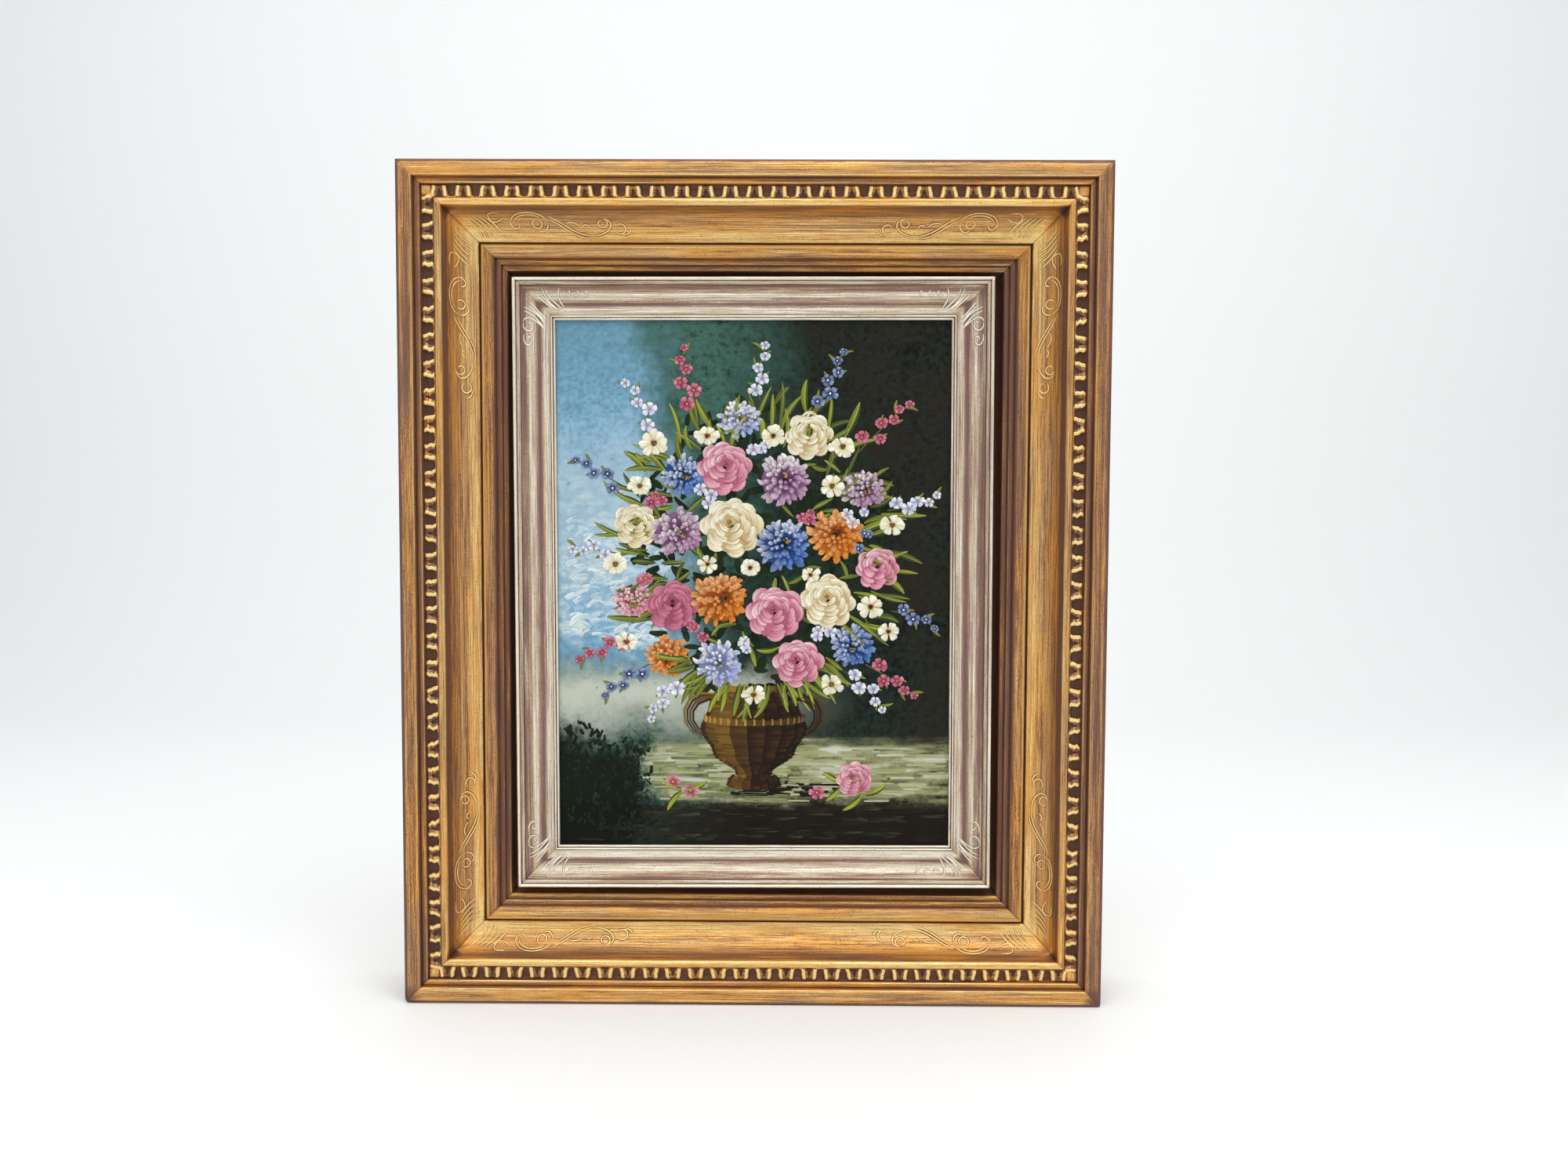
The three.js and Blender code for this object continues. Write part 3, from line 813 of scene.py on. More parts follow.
def leaf_band(rail, sheet, sizes, count):
    """The leaf tips, the scallops between them and the plain block at each corner."""
    rough = 1.25 if rail.side in ("left", "right") else 0.5
    rng = random.Random(f"leaves {rail.side}")
    outer_t, inner_t = BAND
    relief = sizes.relief / MM
    ground = BAND_TOP - relief
    span = 2 * (rail.half - sizes.inset / MM)
    pitch = span / (count - 1)
    centres = [-span / 2 + i * pitch + rng.uniform(-0.3, 0.3) * rough for i in range(count)]
    halves = 7
    groups = sheet.patches(count, 2 * halves, 8, flip=True)
    columns = math.ceil(count / 2)
    for number, (centre, group) in enumerate(zip(centres, groups)):
        stretch = 1 + rng.uniform(-0.05, 0.05) * rough + 0.06 * (rough > 1)
        lean = rng.uniform(-0.5, 0.5) * rough
        seed = rng.uniform(0, 50)
        proud = rng.uniform(-0.25, 0.1) * rough
        for vert, u, v in group:
            k = round(u * 2 * halves)
            side = -1 if k < halves else 1
            q = 1 - v
            half = mix(sizes.inner_width, sizes.outer_width, q) / MM / 2 * stretch
            away, height, tone = leaf_stations(half, q, sizes)[min(k, 2 * halves - k)]
            wander = noise.noise(Vector((seed, q * 3.6, side * 4.0))) * 0.9 * rough
            x = centre + lean * (0.5 - q) + side * (half - away) + wander
            t = mix(inner_t - 0.25, outer_t - 0.2, q)
            if away > 0:
                tone = blend(tone, LEAF_CAP, smooth(q, 0.86, 0.98) * 0.7)
                ends = 1 - smooth(q, 0.0, 0.12) if height > relief - 0.5 else 0.0
                height -= ends * (0.8 - 0.3 * rough * rng.random())
                tone = blend(tone, (0.35, 0.4, 0.3), ends * 0.7)
                height = mix(height + proud, 0.6, smooth(q, 0.93, 1.0) * (height > 0.6))
                height += noise.noise(Vector((x * 1.3, t * 1.3, seed))) * 0.25 * rough
            bake = cell(number, columns, 0.725, 0.845, u, v, rows=2)
            sheet.put(
                vert, rail.world(x, t, ground + height), bake, (x * MM, (60 + t) * MM, rail.seed), tone
            )
    gap = (pitch - sizes.inner_width / MM) / 2 + 1.0
    groups = sheet.patches(count - 1, 8, 4, flip=True)
    for number, group in enumerate(groups):
        middle = (centres[number] + centres[number + 1]) / 2
        thick = rng.uniform(0.5, 1.0)
        for vert, u, v in group:
            share = 2 * u - 1
            reach = thick + 2.3 * share * share
            t = inner_t - 0.05 - reach * (1 - v)
            height = relief * 0.72 * (1 - (1 - v) ** 3) - 0.1
            tone = blend((0.7, 0.05, 0.6), (0.25, 0.35, 0.4), v)
            bake = cell(number, count - 1, 0.85, 0.875, u, v)
            x = middle + share * gap
            sheet.put(
                vert, rail.world(x, t, ground + height), bake, (x * MM, (60 + t) * MM, rail.seed), tone
            )
    for number, group in enumerate(sheet.patches(2, 7, 8, flip=True)):
        sign = 1 if number else -1
        for vert, u, v in group:
            t = mix(outer_t - 0.25, inner_t + 0.05, v)
            mitre = rail.half - t
            width = mix(sizes.outer_width, sizes.inner_width, v) / MM / 2
            start = min(span / 2 + width - 0.3, mitre - 0.12)
            share = u if number else 1 - u
            height = relief - 0.25 - 1.1 * (1 - smooth(share, 0, 0.25)) - 0.9 * (1 - smooth(v, 0, 0.12))
            x = sign * mix(start, mitre, share)
            height += noise.noise(Vector((x * 0.9, t * 0.9, rail.seed))) * 0.12 * smooth(1 - share, 0, 0.3)
            bake = cell(number, 4, 0.88, 0.905, u, v)
            tone = blend((0.5, 0.05, 0.5), (0.08, 0.4, 0.25), smooth(share, 0, 0.3) * smooth(v, 0, 0.2))
            sheet.put(
                vert, rail.world(x, t, ground + height), bake, (x * MM, (60 + t) * MM, rail.seed), tone
            )


def cove_scroll(rng):
    """Tooled lines of the gold cove at one end, as paths to (distance from the outer corner, s)."""
    swell = rng.uniform(0.94, 1.12)
    shift = rng.uniform(-1.2, 1.2)
    coil = 2.5 * swell
    paths = []
    for i in range(5):
        path = (
            (41.8 + 2.5 * i, 18.6 - 0.9 * i), (40.5 + 2.7 * i, 14.5 - 0.5 * i),
            (37 + 2.8 * i, 9.5), (32 + 3 * i, 5.4),
        )
        paths.append(bezier(*path))
    paths.append(bezier((53, 15.2), (46.5, 8.5), (42, 2.2), (48.5 + shift * 0.3, 1.4), (52.8, 2.4)))
    paths.append(bezier((46.6, 8.6), (50.5, 9.2), (52, 8), (54.2, 6.2)))
    back = (68.4 + shift, 10.6)
    paths.append(arc(back, (10.4, 8.8), 172, 352))
    paths.append(arc((back[0], back[1] + 0.2), (8.6, 7.0), 190, 318))
    paths.append(bezier((58.6 + shift, 9.4), (58.4 + shift, 13.2), (63.4 + shift, 14), (63.2 + shift, 10.2)))
    path = (78.7 + shift, 9.4), (79.4 + shift, 14.2), (74.2 + shift, 15.6), (73.4 + shift, 12.9)
    paths.append(bezier(*path))
    paths.append(arc((73 + shift, 9.8), (coil, coil), -60, 250))
    paths.append(bezier((79.6 + shift, 5.2), (86 + shift, 8), (93 + shift, 16.8), (103 + shift, 16.4)))
    paths.append(bezier((80.6 + shift, 7.6), (87 + shift, 11.4), (93.5 + shift, 17.8), (101 + shift, 17.6)))
    paths.append(bezier((103 + shift, 16.4), (113 + shift, 16.4), (117 + shift, 8.4), (109.5 + shift, 6.4)))
    paths.append(spiral((108.6 + shift, 9.4), 3.0 * swell, 1.7 * swell, -70, 260))
    paths.append(bezier((88.5 + shift, 9.6), (92 + shift, 8.2), (94.5 + shift, 9.2), (96.2 + shift, 11.4)))
    paths.append(bezier((97.6 + shift, 11.6), (99 + shift, 9.4), (101 + shift, 10.2), (101.6 + shift, 12.2)))
    paths.append(arc((118.4 + shift, 12.6), (2.8 * swell, 2.7 * swell), -150, 170))
    path = (119.2 + shift, 15.6), (122 + shift, 16.4), (123.6 + shift, 14.8), (124.2 + shift, 12.8)
    paths.append(bezier(*path))
    return paths


def from_corner(path, half, sign):
    """A path measured from the outer corner, put at one end of a rail."""
    def at(u):
        away, s = path(u if sign > 0 else 1 - u)
        return sign * (half - away), s
    return at


def outer_rail(side, gilt, wood):
    sizes = bpy.context.scene.leaf_band_sizes
    section = outer_section(sizes.relief / MM)
    size = ((FRAME_HIGH.x - FRAME_LOW.x) / MM, (FRAME_HIGH.z - FRAME_LOW.z) / MM)
    cove, seed = (COVE_START[0], COVE_END[0]), SIDES.index(side) + 1
    rail = Rail(side, section, size, FRAME_MIDDLE, FRAME_BACK_Y, 0.0, seed, cove)
    sheet = Sheet()
    columns = round(rail.half * 2 / 3.2)
    body_of(rail, sheet, columns, outer_wear, 0.72, (0.88, 0.904))
    faces = set(sheet.bm.faces)
    count = {"top": sizes.count_top, "bottom": sizes.count_bottom}.get(side, sizes.count_side)
    leaf_band(rail, sheet, sizes, count)
    rng = random.Random(f"scrolls {side}")
    paths = [from_corner(path, rail.half, sign) for sign in (-1, 1) for path in cove_scroll(rng)]
    rows = [
        k for k, (t, *_) in enumerate(section.rows[:-1])
        if COVE_START[0] <= t < COVE_END[0] and section.rows[k][1] > 21.9
    ]
    lines_on(rail, sheet, paths, rows, len(paths) // 2, 0.91, 0.998, 1.9)
    sheet.lay_bake_map([face for face in sheet.bm.faces if face not in faces])
    return sheet.piece(f"gilt_rail_{side}", [gilt, wood], [f"frame_{side}"])


# ---------------------------------------------------------------------- the insert

INSERT_BEAD = (0.0, 1.0, 0.0)
INSERT_FLAT = (0.15, 0.45, 0.3)
INSERT_COVE_TONES = (
    (0.4, 0.1, 0.4), (0.2, 0.1, 0.6), (0.0, 0.6, 0.1), (0.0, 0.35, 0.4), (0.1, 0.0, 1.2), (0.0, 0.65, 0.1),
    (0.0, 0.5, 0.3),
)
INSERT_COVE_START, INSERT_COVE_END = (4.8, 23.6), (19.7, 18.9)
INSERT_BACK = 10.3
INSERT_WIDTH = 23.1


def insert_section():
    made = Section(0.0, INSERT_BACK, WOOD, wood=True)
    made.line(0.0, 23.4, (0.75, 0.1, 0.2), steps=3)
    made.line(0.15, 24.1, INSERT_BEAD)
    made.swell(1.9, 24.3, 0.75, INSERT_BEAD, INSERT_BEAD, steps=6)
    made.line(2.05, 23.9, GROOVE).line(2.15, 23.3, GROOVE).line(2.35, 23.8, INSERT_FLAT)
    made.swell(4.2, 23.8, 0.15, INSERT_FLAT, INSERT_FLAT, steps=3)
    made.line(4.35, 23.5, GROOVE).line(4.5, 22.9, GROOVE).line(*INSERT_COVE_START, (0.6, 0.1, 0.3))
    made.bezier((9.4, 20.6), (14.2, 18.4), INSERT_COVE_END, INSERT_COVE_TONES, 18)
    made.line(19.95, 18.8, BRIGHT).line(20.15, 18.3, GROOVE).line(20.4, 18.7, INSERT_FLAT)
    made.swell(21.5, 19.2, 0.6, INSERT_BEAD, INSERT_FLAT, steps=5)
    made.line(21.62, 18.7, GROOVE).line(21.75, 18.5, GROOVE).line(21.9, 18.9, INSERT_FLAT)
    made.swell(22.95, 19.1, 0.6, INSERT_BEAD, INSERT_BEAD, steps=5)
    made.line(INSERT_WIDTH, 18.9, STEP_EDGE).line(INSERT_WIDTH, 17.8, SHADE, steps=2)
    made.line(rabbet_start(), 17.8, WOOD, wood=True, steps=2)
    made.line(rabbet_start(), INSERT_BACK, WOOD, wood=True, steps=2)
    made.line(0.0, INSERT_BACK, WOOD, wood=True, steps=4)
    return made


def rabbet_start():
    sizes = bpy.context.scene.picture_sizes
    outer = (FRAME_HIGH.x - FRAME_LOW.x) / MM - 2 * sizes.insert_start / MM
    return (outer - sizes.width / MM) / 2 - 1.2


INSERT_MITRE_FILL = 6.0
# Painted side shade: how far each silvered rail is darkened for the way the light falls on it.
INSERT_PAINTED_SIDE_SHADE = {"left": 0.42, "right": 0.55, "top": 0.32, "bottom": 0.04}


def insert_wear(rail, x, t, h, s, tone):
    grime_and_shade, burnish_and_highlight, bole = tone
    # Painted side shade, shown as more clay and less burnish.
    side_shade = INSERT_PAINTED_SIDE_SHADE[rail.side]
    bole, burnish_and_highlight = bole + side_shade, burnish_and_highlight * (1 - 0.4 * side_shade)
    end = rail.half - t - abs(x)
    free = smooth(end, 0, 5)
    h = filled_mitre(rail, t, h, end, INSERT_MITRE_FILL) if h > CARVED_HEIGHT else h
    if h > CARVED_HEIGHT:
        h += noise.noise(Vector((x * 0.07, s * 0.4, rail.seed * 9.1))) * 0.07 * free
        t += noise.noise(Vector((x * 0.11, s * 0.3, rail.seed * 5.3))) * 0.05 * free
    grime_and_shade += 0.25 * (1 - smooth(end, 0, 9)) * (t > 3)
    return rail.world(x, t, h), (min(1, grime_and_shade), burnish_and_highlight, bole)


def insert_scroll(rail, rng):
    """Tooled lines of the silver cove at one end, as paths to (distance from the outer corner, s)."""
    upright = rail.side in ("left", "right")
    shift = rng.uniform(-0.5, 0.5)
    paths = []
    for i in range(2):
        path = (22.6 + i, 14.2 - i), (19.5 + i, 11), (16 + 1.5 * i, 8.5), (13.4 + 2.2 * i, 5.4 - i)
        paths.append(bezier(*path))
    paths.append(bezier((26 + shift, 14.6), (22.4, 11.4), (17.8, 9), (16.6, 1.8)))
    paths.append(bezier((27.2 + shift, 13.2), (24, 10.4), (20, 8), (18.6, 2.0)))
    if upright:
        paths.append(bezier((27.8, 13), (23.4, 9.4), (19.6, 3.6), (24.4, 1.3)))
        paths.append(spiral((26.2 + shift, 4.8), 3.5, 1.5, -115, 200))
        paths.append(bezier((31.4, 1.8), (37.6, 0.4), (39.6, 6.6), (33.6, 6.2)))
        paths.append(bezier((33.6, 6.2), (31.8, 5.4), (32.6, 3.6), (34.6, 4.0)))
    else:
        paths.append(bezier((28.4, 12.6), (25.2, 8.4), (24.4, 5.4), (26.2, 1.8)))
        for i in range(3):
            paths.append(spiral((30.6 + 4.8 * i + shift, 4.2), 1.9, 1.0, 200 - 40 * i, -80))
    return paths


def insert_rail(side, silver, wood):
    sizes = bpy.context.scene.picture_sizes
    start = sizes.insert_start / MM
    size = (
        (FRAME_HIGH.x - FRAME_LOW.x) / MM - 2 * start,
        (FRAME_HIGH.z - FRAME_LOW.z) / MM - 2 * start,
    )
    section = insert_section()
    cove = (INSERT_COVE_START[0], INSERT_COVE_END[0])
    rail = Rail(side, section, size, PICTURE_MIDDLE, FRAME_BACK_Y, sizes.turn, SIDES.index(side) + 11, cove)
    sheet = Sheet()
    columns = round(rail.half * 2 / 3.0)
    body_of(rail, sheet, columns, insert_wear, 0.82, (0.835, 0.86))
    faces = set(sheet.bm.faces)
    rng = random.Random(f"silver {side}")
    paths = [from_corner(path, rail.half, sign) for sign in (-1, 1) for path in insert_scroll(rail, rng)]
    rows = [
        k for k, (t, h, *_) in enumerate(section.rows[:-1])
        if INSERT_COVE_START[0] <= t < INSERT_COVE_END[0] and h > 18.8
    ]
    lines_on(rail, sheet, paths, rows, len(paths) // 2, 0.88, 0.998, 1.5)
    sheet.lay_bake_map([face for face in sheet.bm.faces if face not in faces])
    return sheet.piece(f"silvered_rail_{side}", [silver, wood], [f"insert_{side}"])


# ---------------------------------------------------------------------- the canvas

CANVAS_FRONT = 17.5
CANVAS_ROUND = 0.9
CLOTH_THICKNESS = 0.6
PAINTED_FOLD = 2.5
SIGHT = (110.0, 147.5)


class Picture:
    """Where points of the picture lie: x to the right and z up from its middle, lift over the canvas."""

    def __init__(self):
        turn = bpy.context.scene.picture_sizes.turn
        place = (PICTURE_MIDDLE.x, FRAME_BACK_Y, PICTURE_MIDDLE.z)
        self.matrix = Matrix.Translation(place) @ Matrix.Rotation(
            turn, 4, "Y"
        )

    def world(self, x, z, lift):
        return self.matrix @ Vector((x * MM, -(CANVAS_FRONT + lift) * MM, z * MM))


def canvas_edge(turnover):
    """The canvas from its front face, round the stretcher's edge and onto its back."""
    r, front = CANVAS_ROUND, CANVAS_FRONT
    made = Section(r, front, WOOD)
    made.line(0.3 * r, front - 0.3 * r, WOOD).line(0.0, front - r, WOOD).line(0.0, r, WOOD, steps=4)
    made.line(0.3 * r, 0.3 * r, WOOD).line(r, 0.0, WOOD).line(turnover, 0.0, WOOD, steps=4)
    return made


def stretched_canvas(paint, raw):
    """The canvas as one cloth, folded over all four edges of the stretcher."""
    sizes = bpy.context.scene.picture_sizes
    width, height, turnover = sizes.width / MM, sizes.height / MM, sizes.turnover / MM
    picture, sheet = Picture(), Sheet()
    across, up = 92, 122
    front_share, edge_share = 0.72, 0.84
    (front,) = sheet.patches(1, across, up, flip=True)
    for vert, u, v in front:
        x = (u - 0.5) * (width - 2 * CANVAS_ROUND)
        z = (0.5 - v) * (height - 2 * CANVAS_ROUND)
        sheet.put(vert, picture.world(x, z, 0), (u * front_share, 1 - v), (x * MM, z * MM, 1))
    section = canvas_edge(turnover)
    rows, lengths = section.rows, section.lengths()
    for number, side in enumerate(SIDES):
        edge = Rail(side, section, (width, height), PICTURE_MIDDLE, FRAME_BACK_Y, sizes.turn)
        columns = across if number % 2 == 0 else up
        (strip,) = sheet.patches(1, columns, len(rows) - 1, flip=True)
        for vert, u, v in strip:
            k = round(v * (len(rows) - 1))
            t, h, *_ = rows[k]
            x = (2 * u - 1) * (edge.half - t)
            low = front_share + 0.01 + number * (edge_share - front_share - 0.01) / 4
            bake = (mix(low, low + 0.026, v), u)
            sheet.put(vert, edge.world(x, t, h), bake, (x * MM, lengths[k] * MM, 2 + number))
    sheet.lay_bake_map()
    bmesh.ops.remove_doubles(sheet.bm, verts=sheet.bm.verts, dist=0.002 * MM)
    outside = list(sheet.bm.faces)
    bmesh.ops.recalc_face_normals(sheet.bm, faces=outside)
    paint_ends = FRAME_BACK_Y - (CANVAS_FRONT - PAINTED_FOLD) * MM
    for face in outside:
        face.material_index = int(face.calc_center_median().y > paint_ends)
    bmesh.ops.solidify(sheet.bm, geom=outside, thickness=CLOTH_THICKNESS * MM)
    inside = set(sheet.bm.faces) - set(outside)
    for face in inside:
        face.material_index = 1
        for loop in face.loops:
            at = loop[sheet.uv].uv
            loop[sheet.uv].uv = (edge_share + 0.01 + at.x / edge_share * 0.14, at.y)
    return sheet.piece("painted_canvas", [paint, raw], ["canvas"])


def threads(s, place, spacing):
    """Height of a plain weave with threads that far apart."""
    x, _, z = s.parts(place)
    pace = 2 * math.pi / spacing
    wander = s.noise(place, scale=60, detail=2) * 2.2
    warp = (x * pace + wander).sine()
    weft = (z * pace + wander).sine()
    knots = s.noise(place, scale=900, detail=2)
    return (warp * weft) * 0.25 + (warp.most(weft)) * 0.25 + knots * 0.5


def underpainting(name, colours, spacing):
    """The broad areas behind the flowers, on woven canvas: sky, cloud, dark wall, ledge and shrub."""
    sky, cloud, teal, night, ledge, shrub = colours
    s = Shader(name, **{"IOR": 1.5, "Specular IOR Level": 0.06})
    place = s.stretched(s.object_place(), (1000, 1000, 1000), [-value / MM for value in PICTURE_MIDDLE])
    x, _, z = s.parts(place)
    ragged = s.noise(place, scale=0.035, detail=5, rough=0.65)
    fine = s.noise(place, scale=0.4, detail=4, rough=0.7)
    dab = s.noise(s.stretched(place, (0.16, 0.16, 0.3)), detail=3)
    flow = s.noise(s.stretched(place, (0.03, 0.1, 0.22)), detail=4)
    push = (ragged - 0.5) * 62 + (fine - 0.5) * 22
    tone = s.mix((fine * 0.8 + ragged * 0.4).step(0.4, 0.85), night, tuple(0.35 * value for value in teal))
    warm = (x + z * 0.3 + push).step(20, 95) * (ragged + fine * 0.4).step(0.45, 0.9)
    tone = s.mix(warm * 0.8, tone, tuple(2.6 * value for value in night))
    green = (x + push * 1.2 - z * 0.16).step(14, -46) * (dab * 0.5 + fine * 0.9).step(0.35, 0.85)
    tone = s.mix(green, tone, teal)
    high = (z + push * 0.5).step(70, 150)
    open_sky = (x * 0.9 + push + (z - 30) * 0.1).step(-22, -62) * (z + push * 0.4).step(-62, -30)
    tinted = s.mix(fine.step(0.35, 0.7), sky, tuple(0.62 * value for value in sky))
    tinted = s.mix((z + push).step(-40, 20) * (z + push).step(110, 60) * 0.5, tinted, blend(sky, cloud, 0.6))
    tinted = s.mix(high * 0.55, tinted, blend(teal, sky, 0.3))
    tone = s.mix(open_sky * (dab * 0.5 + 0.72).least(1.0), tone, tinted)
    bank = (dab * 0.6 + ragged * 0.7 + fine * 0.25).step(0.74, 0.98)
    clear = (z + (x + 70) * 0.35 + push * 0.4).step(66, 20) * (z + push * 0.5).step(-52, -18)
    tone = s.mix(bank * clear * open_sky * 0.95, tone, cloud)
    haze = (z + push * 0.5).step(-95, -60) * (z + push * 0.5).step(-40, -62) * (x + push).step(60, -40)
    tone = s.mix(haze * 0.9, tone, blend(ledge, cloud, 0.66))
    top = (z + push * 0.22).step(-84, -92) * (z + push * 0.22).step(-128, -118)
    lit = (x + push * 1.2).step(-78, -42) * (flow * 0.8 + fine * 0.3).step(0.34, 0.66)
    tone = s.mix(top * lit, tone, ledge)
    tone = s.mix(top * lit * flow.step(0.52, 0.66) * 0.8, tone, blend(ledge, cloud, 0.75))
    low = (z + push * 0.3).step(-118, -130)
    tone = s.mix(low * 0.85, tone, tuple(1.6 * value for value in night))
    bush = (x + push * 0.9 - z * 0.1).step(-46, -62) * (z + push * 0.9 + (x + 100) * 0.3).step(-70, -96)
    tone = s.mix(bush * 0.95, tone, shrub)
    thin = fine.step(0.62, 0.8)
    tone = s.mix(thin * 0.3, tone, tuple(0.3 * value for value in night))
    weave = threads(s, s.object_place(), spacing)
    worn = s.mix((weave - 0.1).step(0.3, 0.65) * 0.35, tone, blend(ledge, night, 0.55), "MULTIPLY")
    height = weave * 0.6 + fine * 0.5 + dab * 0.5
    return s.set(base_color=worn, roughness=0.5 + fine * 0.2, normal=s.bump(height, 0.22 * MM, 0.55))


def raw_linen(name, tint, spacing):
    """Unprimed canvas on the back."""
    s = Shader(name)
    weave = threads(s, s.object_place(), spacing)
    slub = s.noise(s.stretched(s.object_place(), (120, 120, 1500)), detail=2)
    tone = s.mix((weave + slub * 0.4).step(0.2, 0.8), tuple(0.55 * value for value in tint), tint)
    return s.set(base_color=tone, roughness=0.88, normal=s.bump(weave + slub * 0.3, 0.25 * MM, 0.8))


# ---------------------------------------------------------------------- the stretcher and fixings

def stretcher_section():
    """A bar whose front falls away from a raised lip, so that it clears the canvas."""
    width = bpy.context.scene.picture_sizes.bar_width / MM
    edge, back, front = 1.1, 1.1, 16.4
    made = Section(edge + 0.5, back, WOOD, wood=True)
    made.line(edge, back + 0.5, WOOD, wood=True).line(edge, front - 0.4, WOOD, wood=True, steps=2)
    made.line(edge + 0.4, front, WOOD, wood=True).line(edge + 4, front, WOOD, wood=True)
    made.line(edge + width - 0.4, front - 2, WOOD, wood=True, steps=2)
    made.line(edge + width, front - 2.4, WOOD, wood=True)
    made.line(edge + width, back + 0.6, WOOD, wood=True, steps=2)
    made.line(edge + width - 0.6, back, WOOD, wood=True).line(edge + 0.5, back, WOOD, wood=True, steps=4)
    return made


def stretcher_bar(side, wood):
    sizes = bpy.context.scene.picture_sizes
    size = (sizes.width / MM, sizes.height / MM)
    section, seed = stretcher_section(), SIDES.index(side) + 21
    rail = Rail(side, section, size, PICTURE_MIDDLE, FRAME_BACK_Y, sizes.turn, seed)

    def planed(rail, x, t, h, s, tone):
        wave = noise.noise(Vector((x * 0.03, s * 0.2, rail.seed))) * 0.12
        wave *= smooth(rail.half - t - abs(x), 0, 8)
        return rail.world(x, t + wave * (t > 12), h), tone

    sheet = Sheet()
    body_of(rail, sheet, round(rail.half / 4), planed, 0.86, (0.89, 0.99))
    return sheet.piece(f"pine_bar_{side}", [wood, wood], [f"stretcher_{side}"])


def headed_pin(name, node, steel, crown, slot):
    """A screw or nail driven in from the back: a domed head, slotted for a screw, on a plain shank."""
    low, high = (Vector(corner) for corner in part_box(node))
    radius, middle = (high.x - low.x) / 2, (low + high) / 2
    base = high.y - crown
    bm = bmesh.new()
    levels = (-1, -0.8, -0.55, -0.3, -0.17, -0.14, 0.14, 0.17, 0.3, 0.55, 0.8, 1)
    count = len(levels)
    made = bmesh.ops.create_grid(bm, x_segments=count - 1, y_segments=count - 1, size=0.5)["verts"]
    for i, vert in enumerate(made):
        x, z = levels[i % count], levels[i // count]
        x, z = x * math.sqrt(1 - z * z / 2), z * math.sqrt(1 - x * x / 2)
        away = min(1.0, math.hypot(x, z))
        rise = crown * (0.35 + 0.65 * math.sqrt(max(0.0, 1 - away * away)))
        if slot and abs(levels[i // count]) < 0.15:
            rise -= crown * 0.6 * (1 - smooth(away, 0.96, 1.0))
        vert.co = (middle.x + x * radius, base + rise, middle.z - z * radius)
    rim = [edge for edge in bm.edges if edge.is_boundary]
    for vert in bmesh.ops.extrude_edge_only(bm, edges=rim)["geom"]:
        if isinstance(vert, bmesh.types.BMVert):
            vert.co.y = base
    bmesh.ops.holes_fill(bm, edges=[edge for edge in bm.edges if edge.is_boundary], sides=0)
    length = base - low.y
    place = Matrix.Translation((middle.x, base - length / 2, middle.z)) @ Matrix.Rotation(math.pi / 2, 4, "X")
    bmesh.ops.create_cone(
        bm, cap_ends=True, segments=16, radius1=radius * 0.2, radius2=radius * 0.38, depth=length,
        matrix=place,
    )
    bmesh.ops.recalc_face_normals(bm, faces=bm.faces)
    mesh = bpy.data.meshes.new(name)
    bm.to_mesh(mesh)
    bm.free()
    pin = bpy.data.objects.new(name, mesh)
    bpy.context.collection.objects.link(pin)
    mesh.materials.append(steel)
    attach(pin, BODY)
    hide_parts(node)
    return pin


# ---------------------------------------------------------------------- brushwork

def petal_shape(u):
    width = (0.35 + 0.65 * smooth(u, 0, 0.6)) * (1 - 0.78 * smooth(u, 0.72, 1.0))
    return width, 0.4 + 0.6 * smooth(u, 0.1, 0.8)


def round_petal_shape(u):
    return (0.4 + 0.6 * smooth(u, 0, 0.7)) * (1 - 0.5 * smooth(u, 0.86, 1.0)), 0.4 + 0.6 * smooth(u, 0.1, 0.9)


def leaf_shape(u):
    return max(0.12, math.sin(math.pi * min(0.97, u * 0.93 + 0.05)) ** 0.75), 0.7


def dab_shape(u):
    return 1 - 0.6 * smooth(u, 0.8, 1.0) - 0.45 * smooth(u, 0.15, 0.0), 1 - 0.5 * u


def crescent_shape(u):
    return max(0.14, math.sin(math.pi * mix(0.06, 0.95, u)) ** 0.8), 0.9


def line_shape(u):
    return 0.9 - 0.65 * u, 0.8


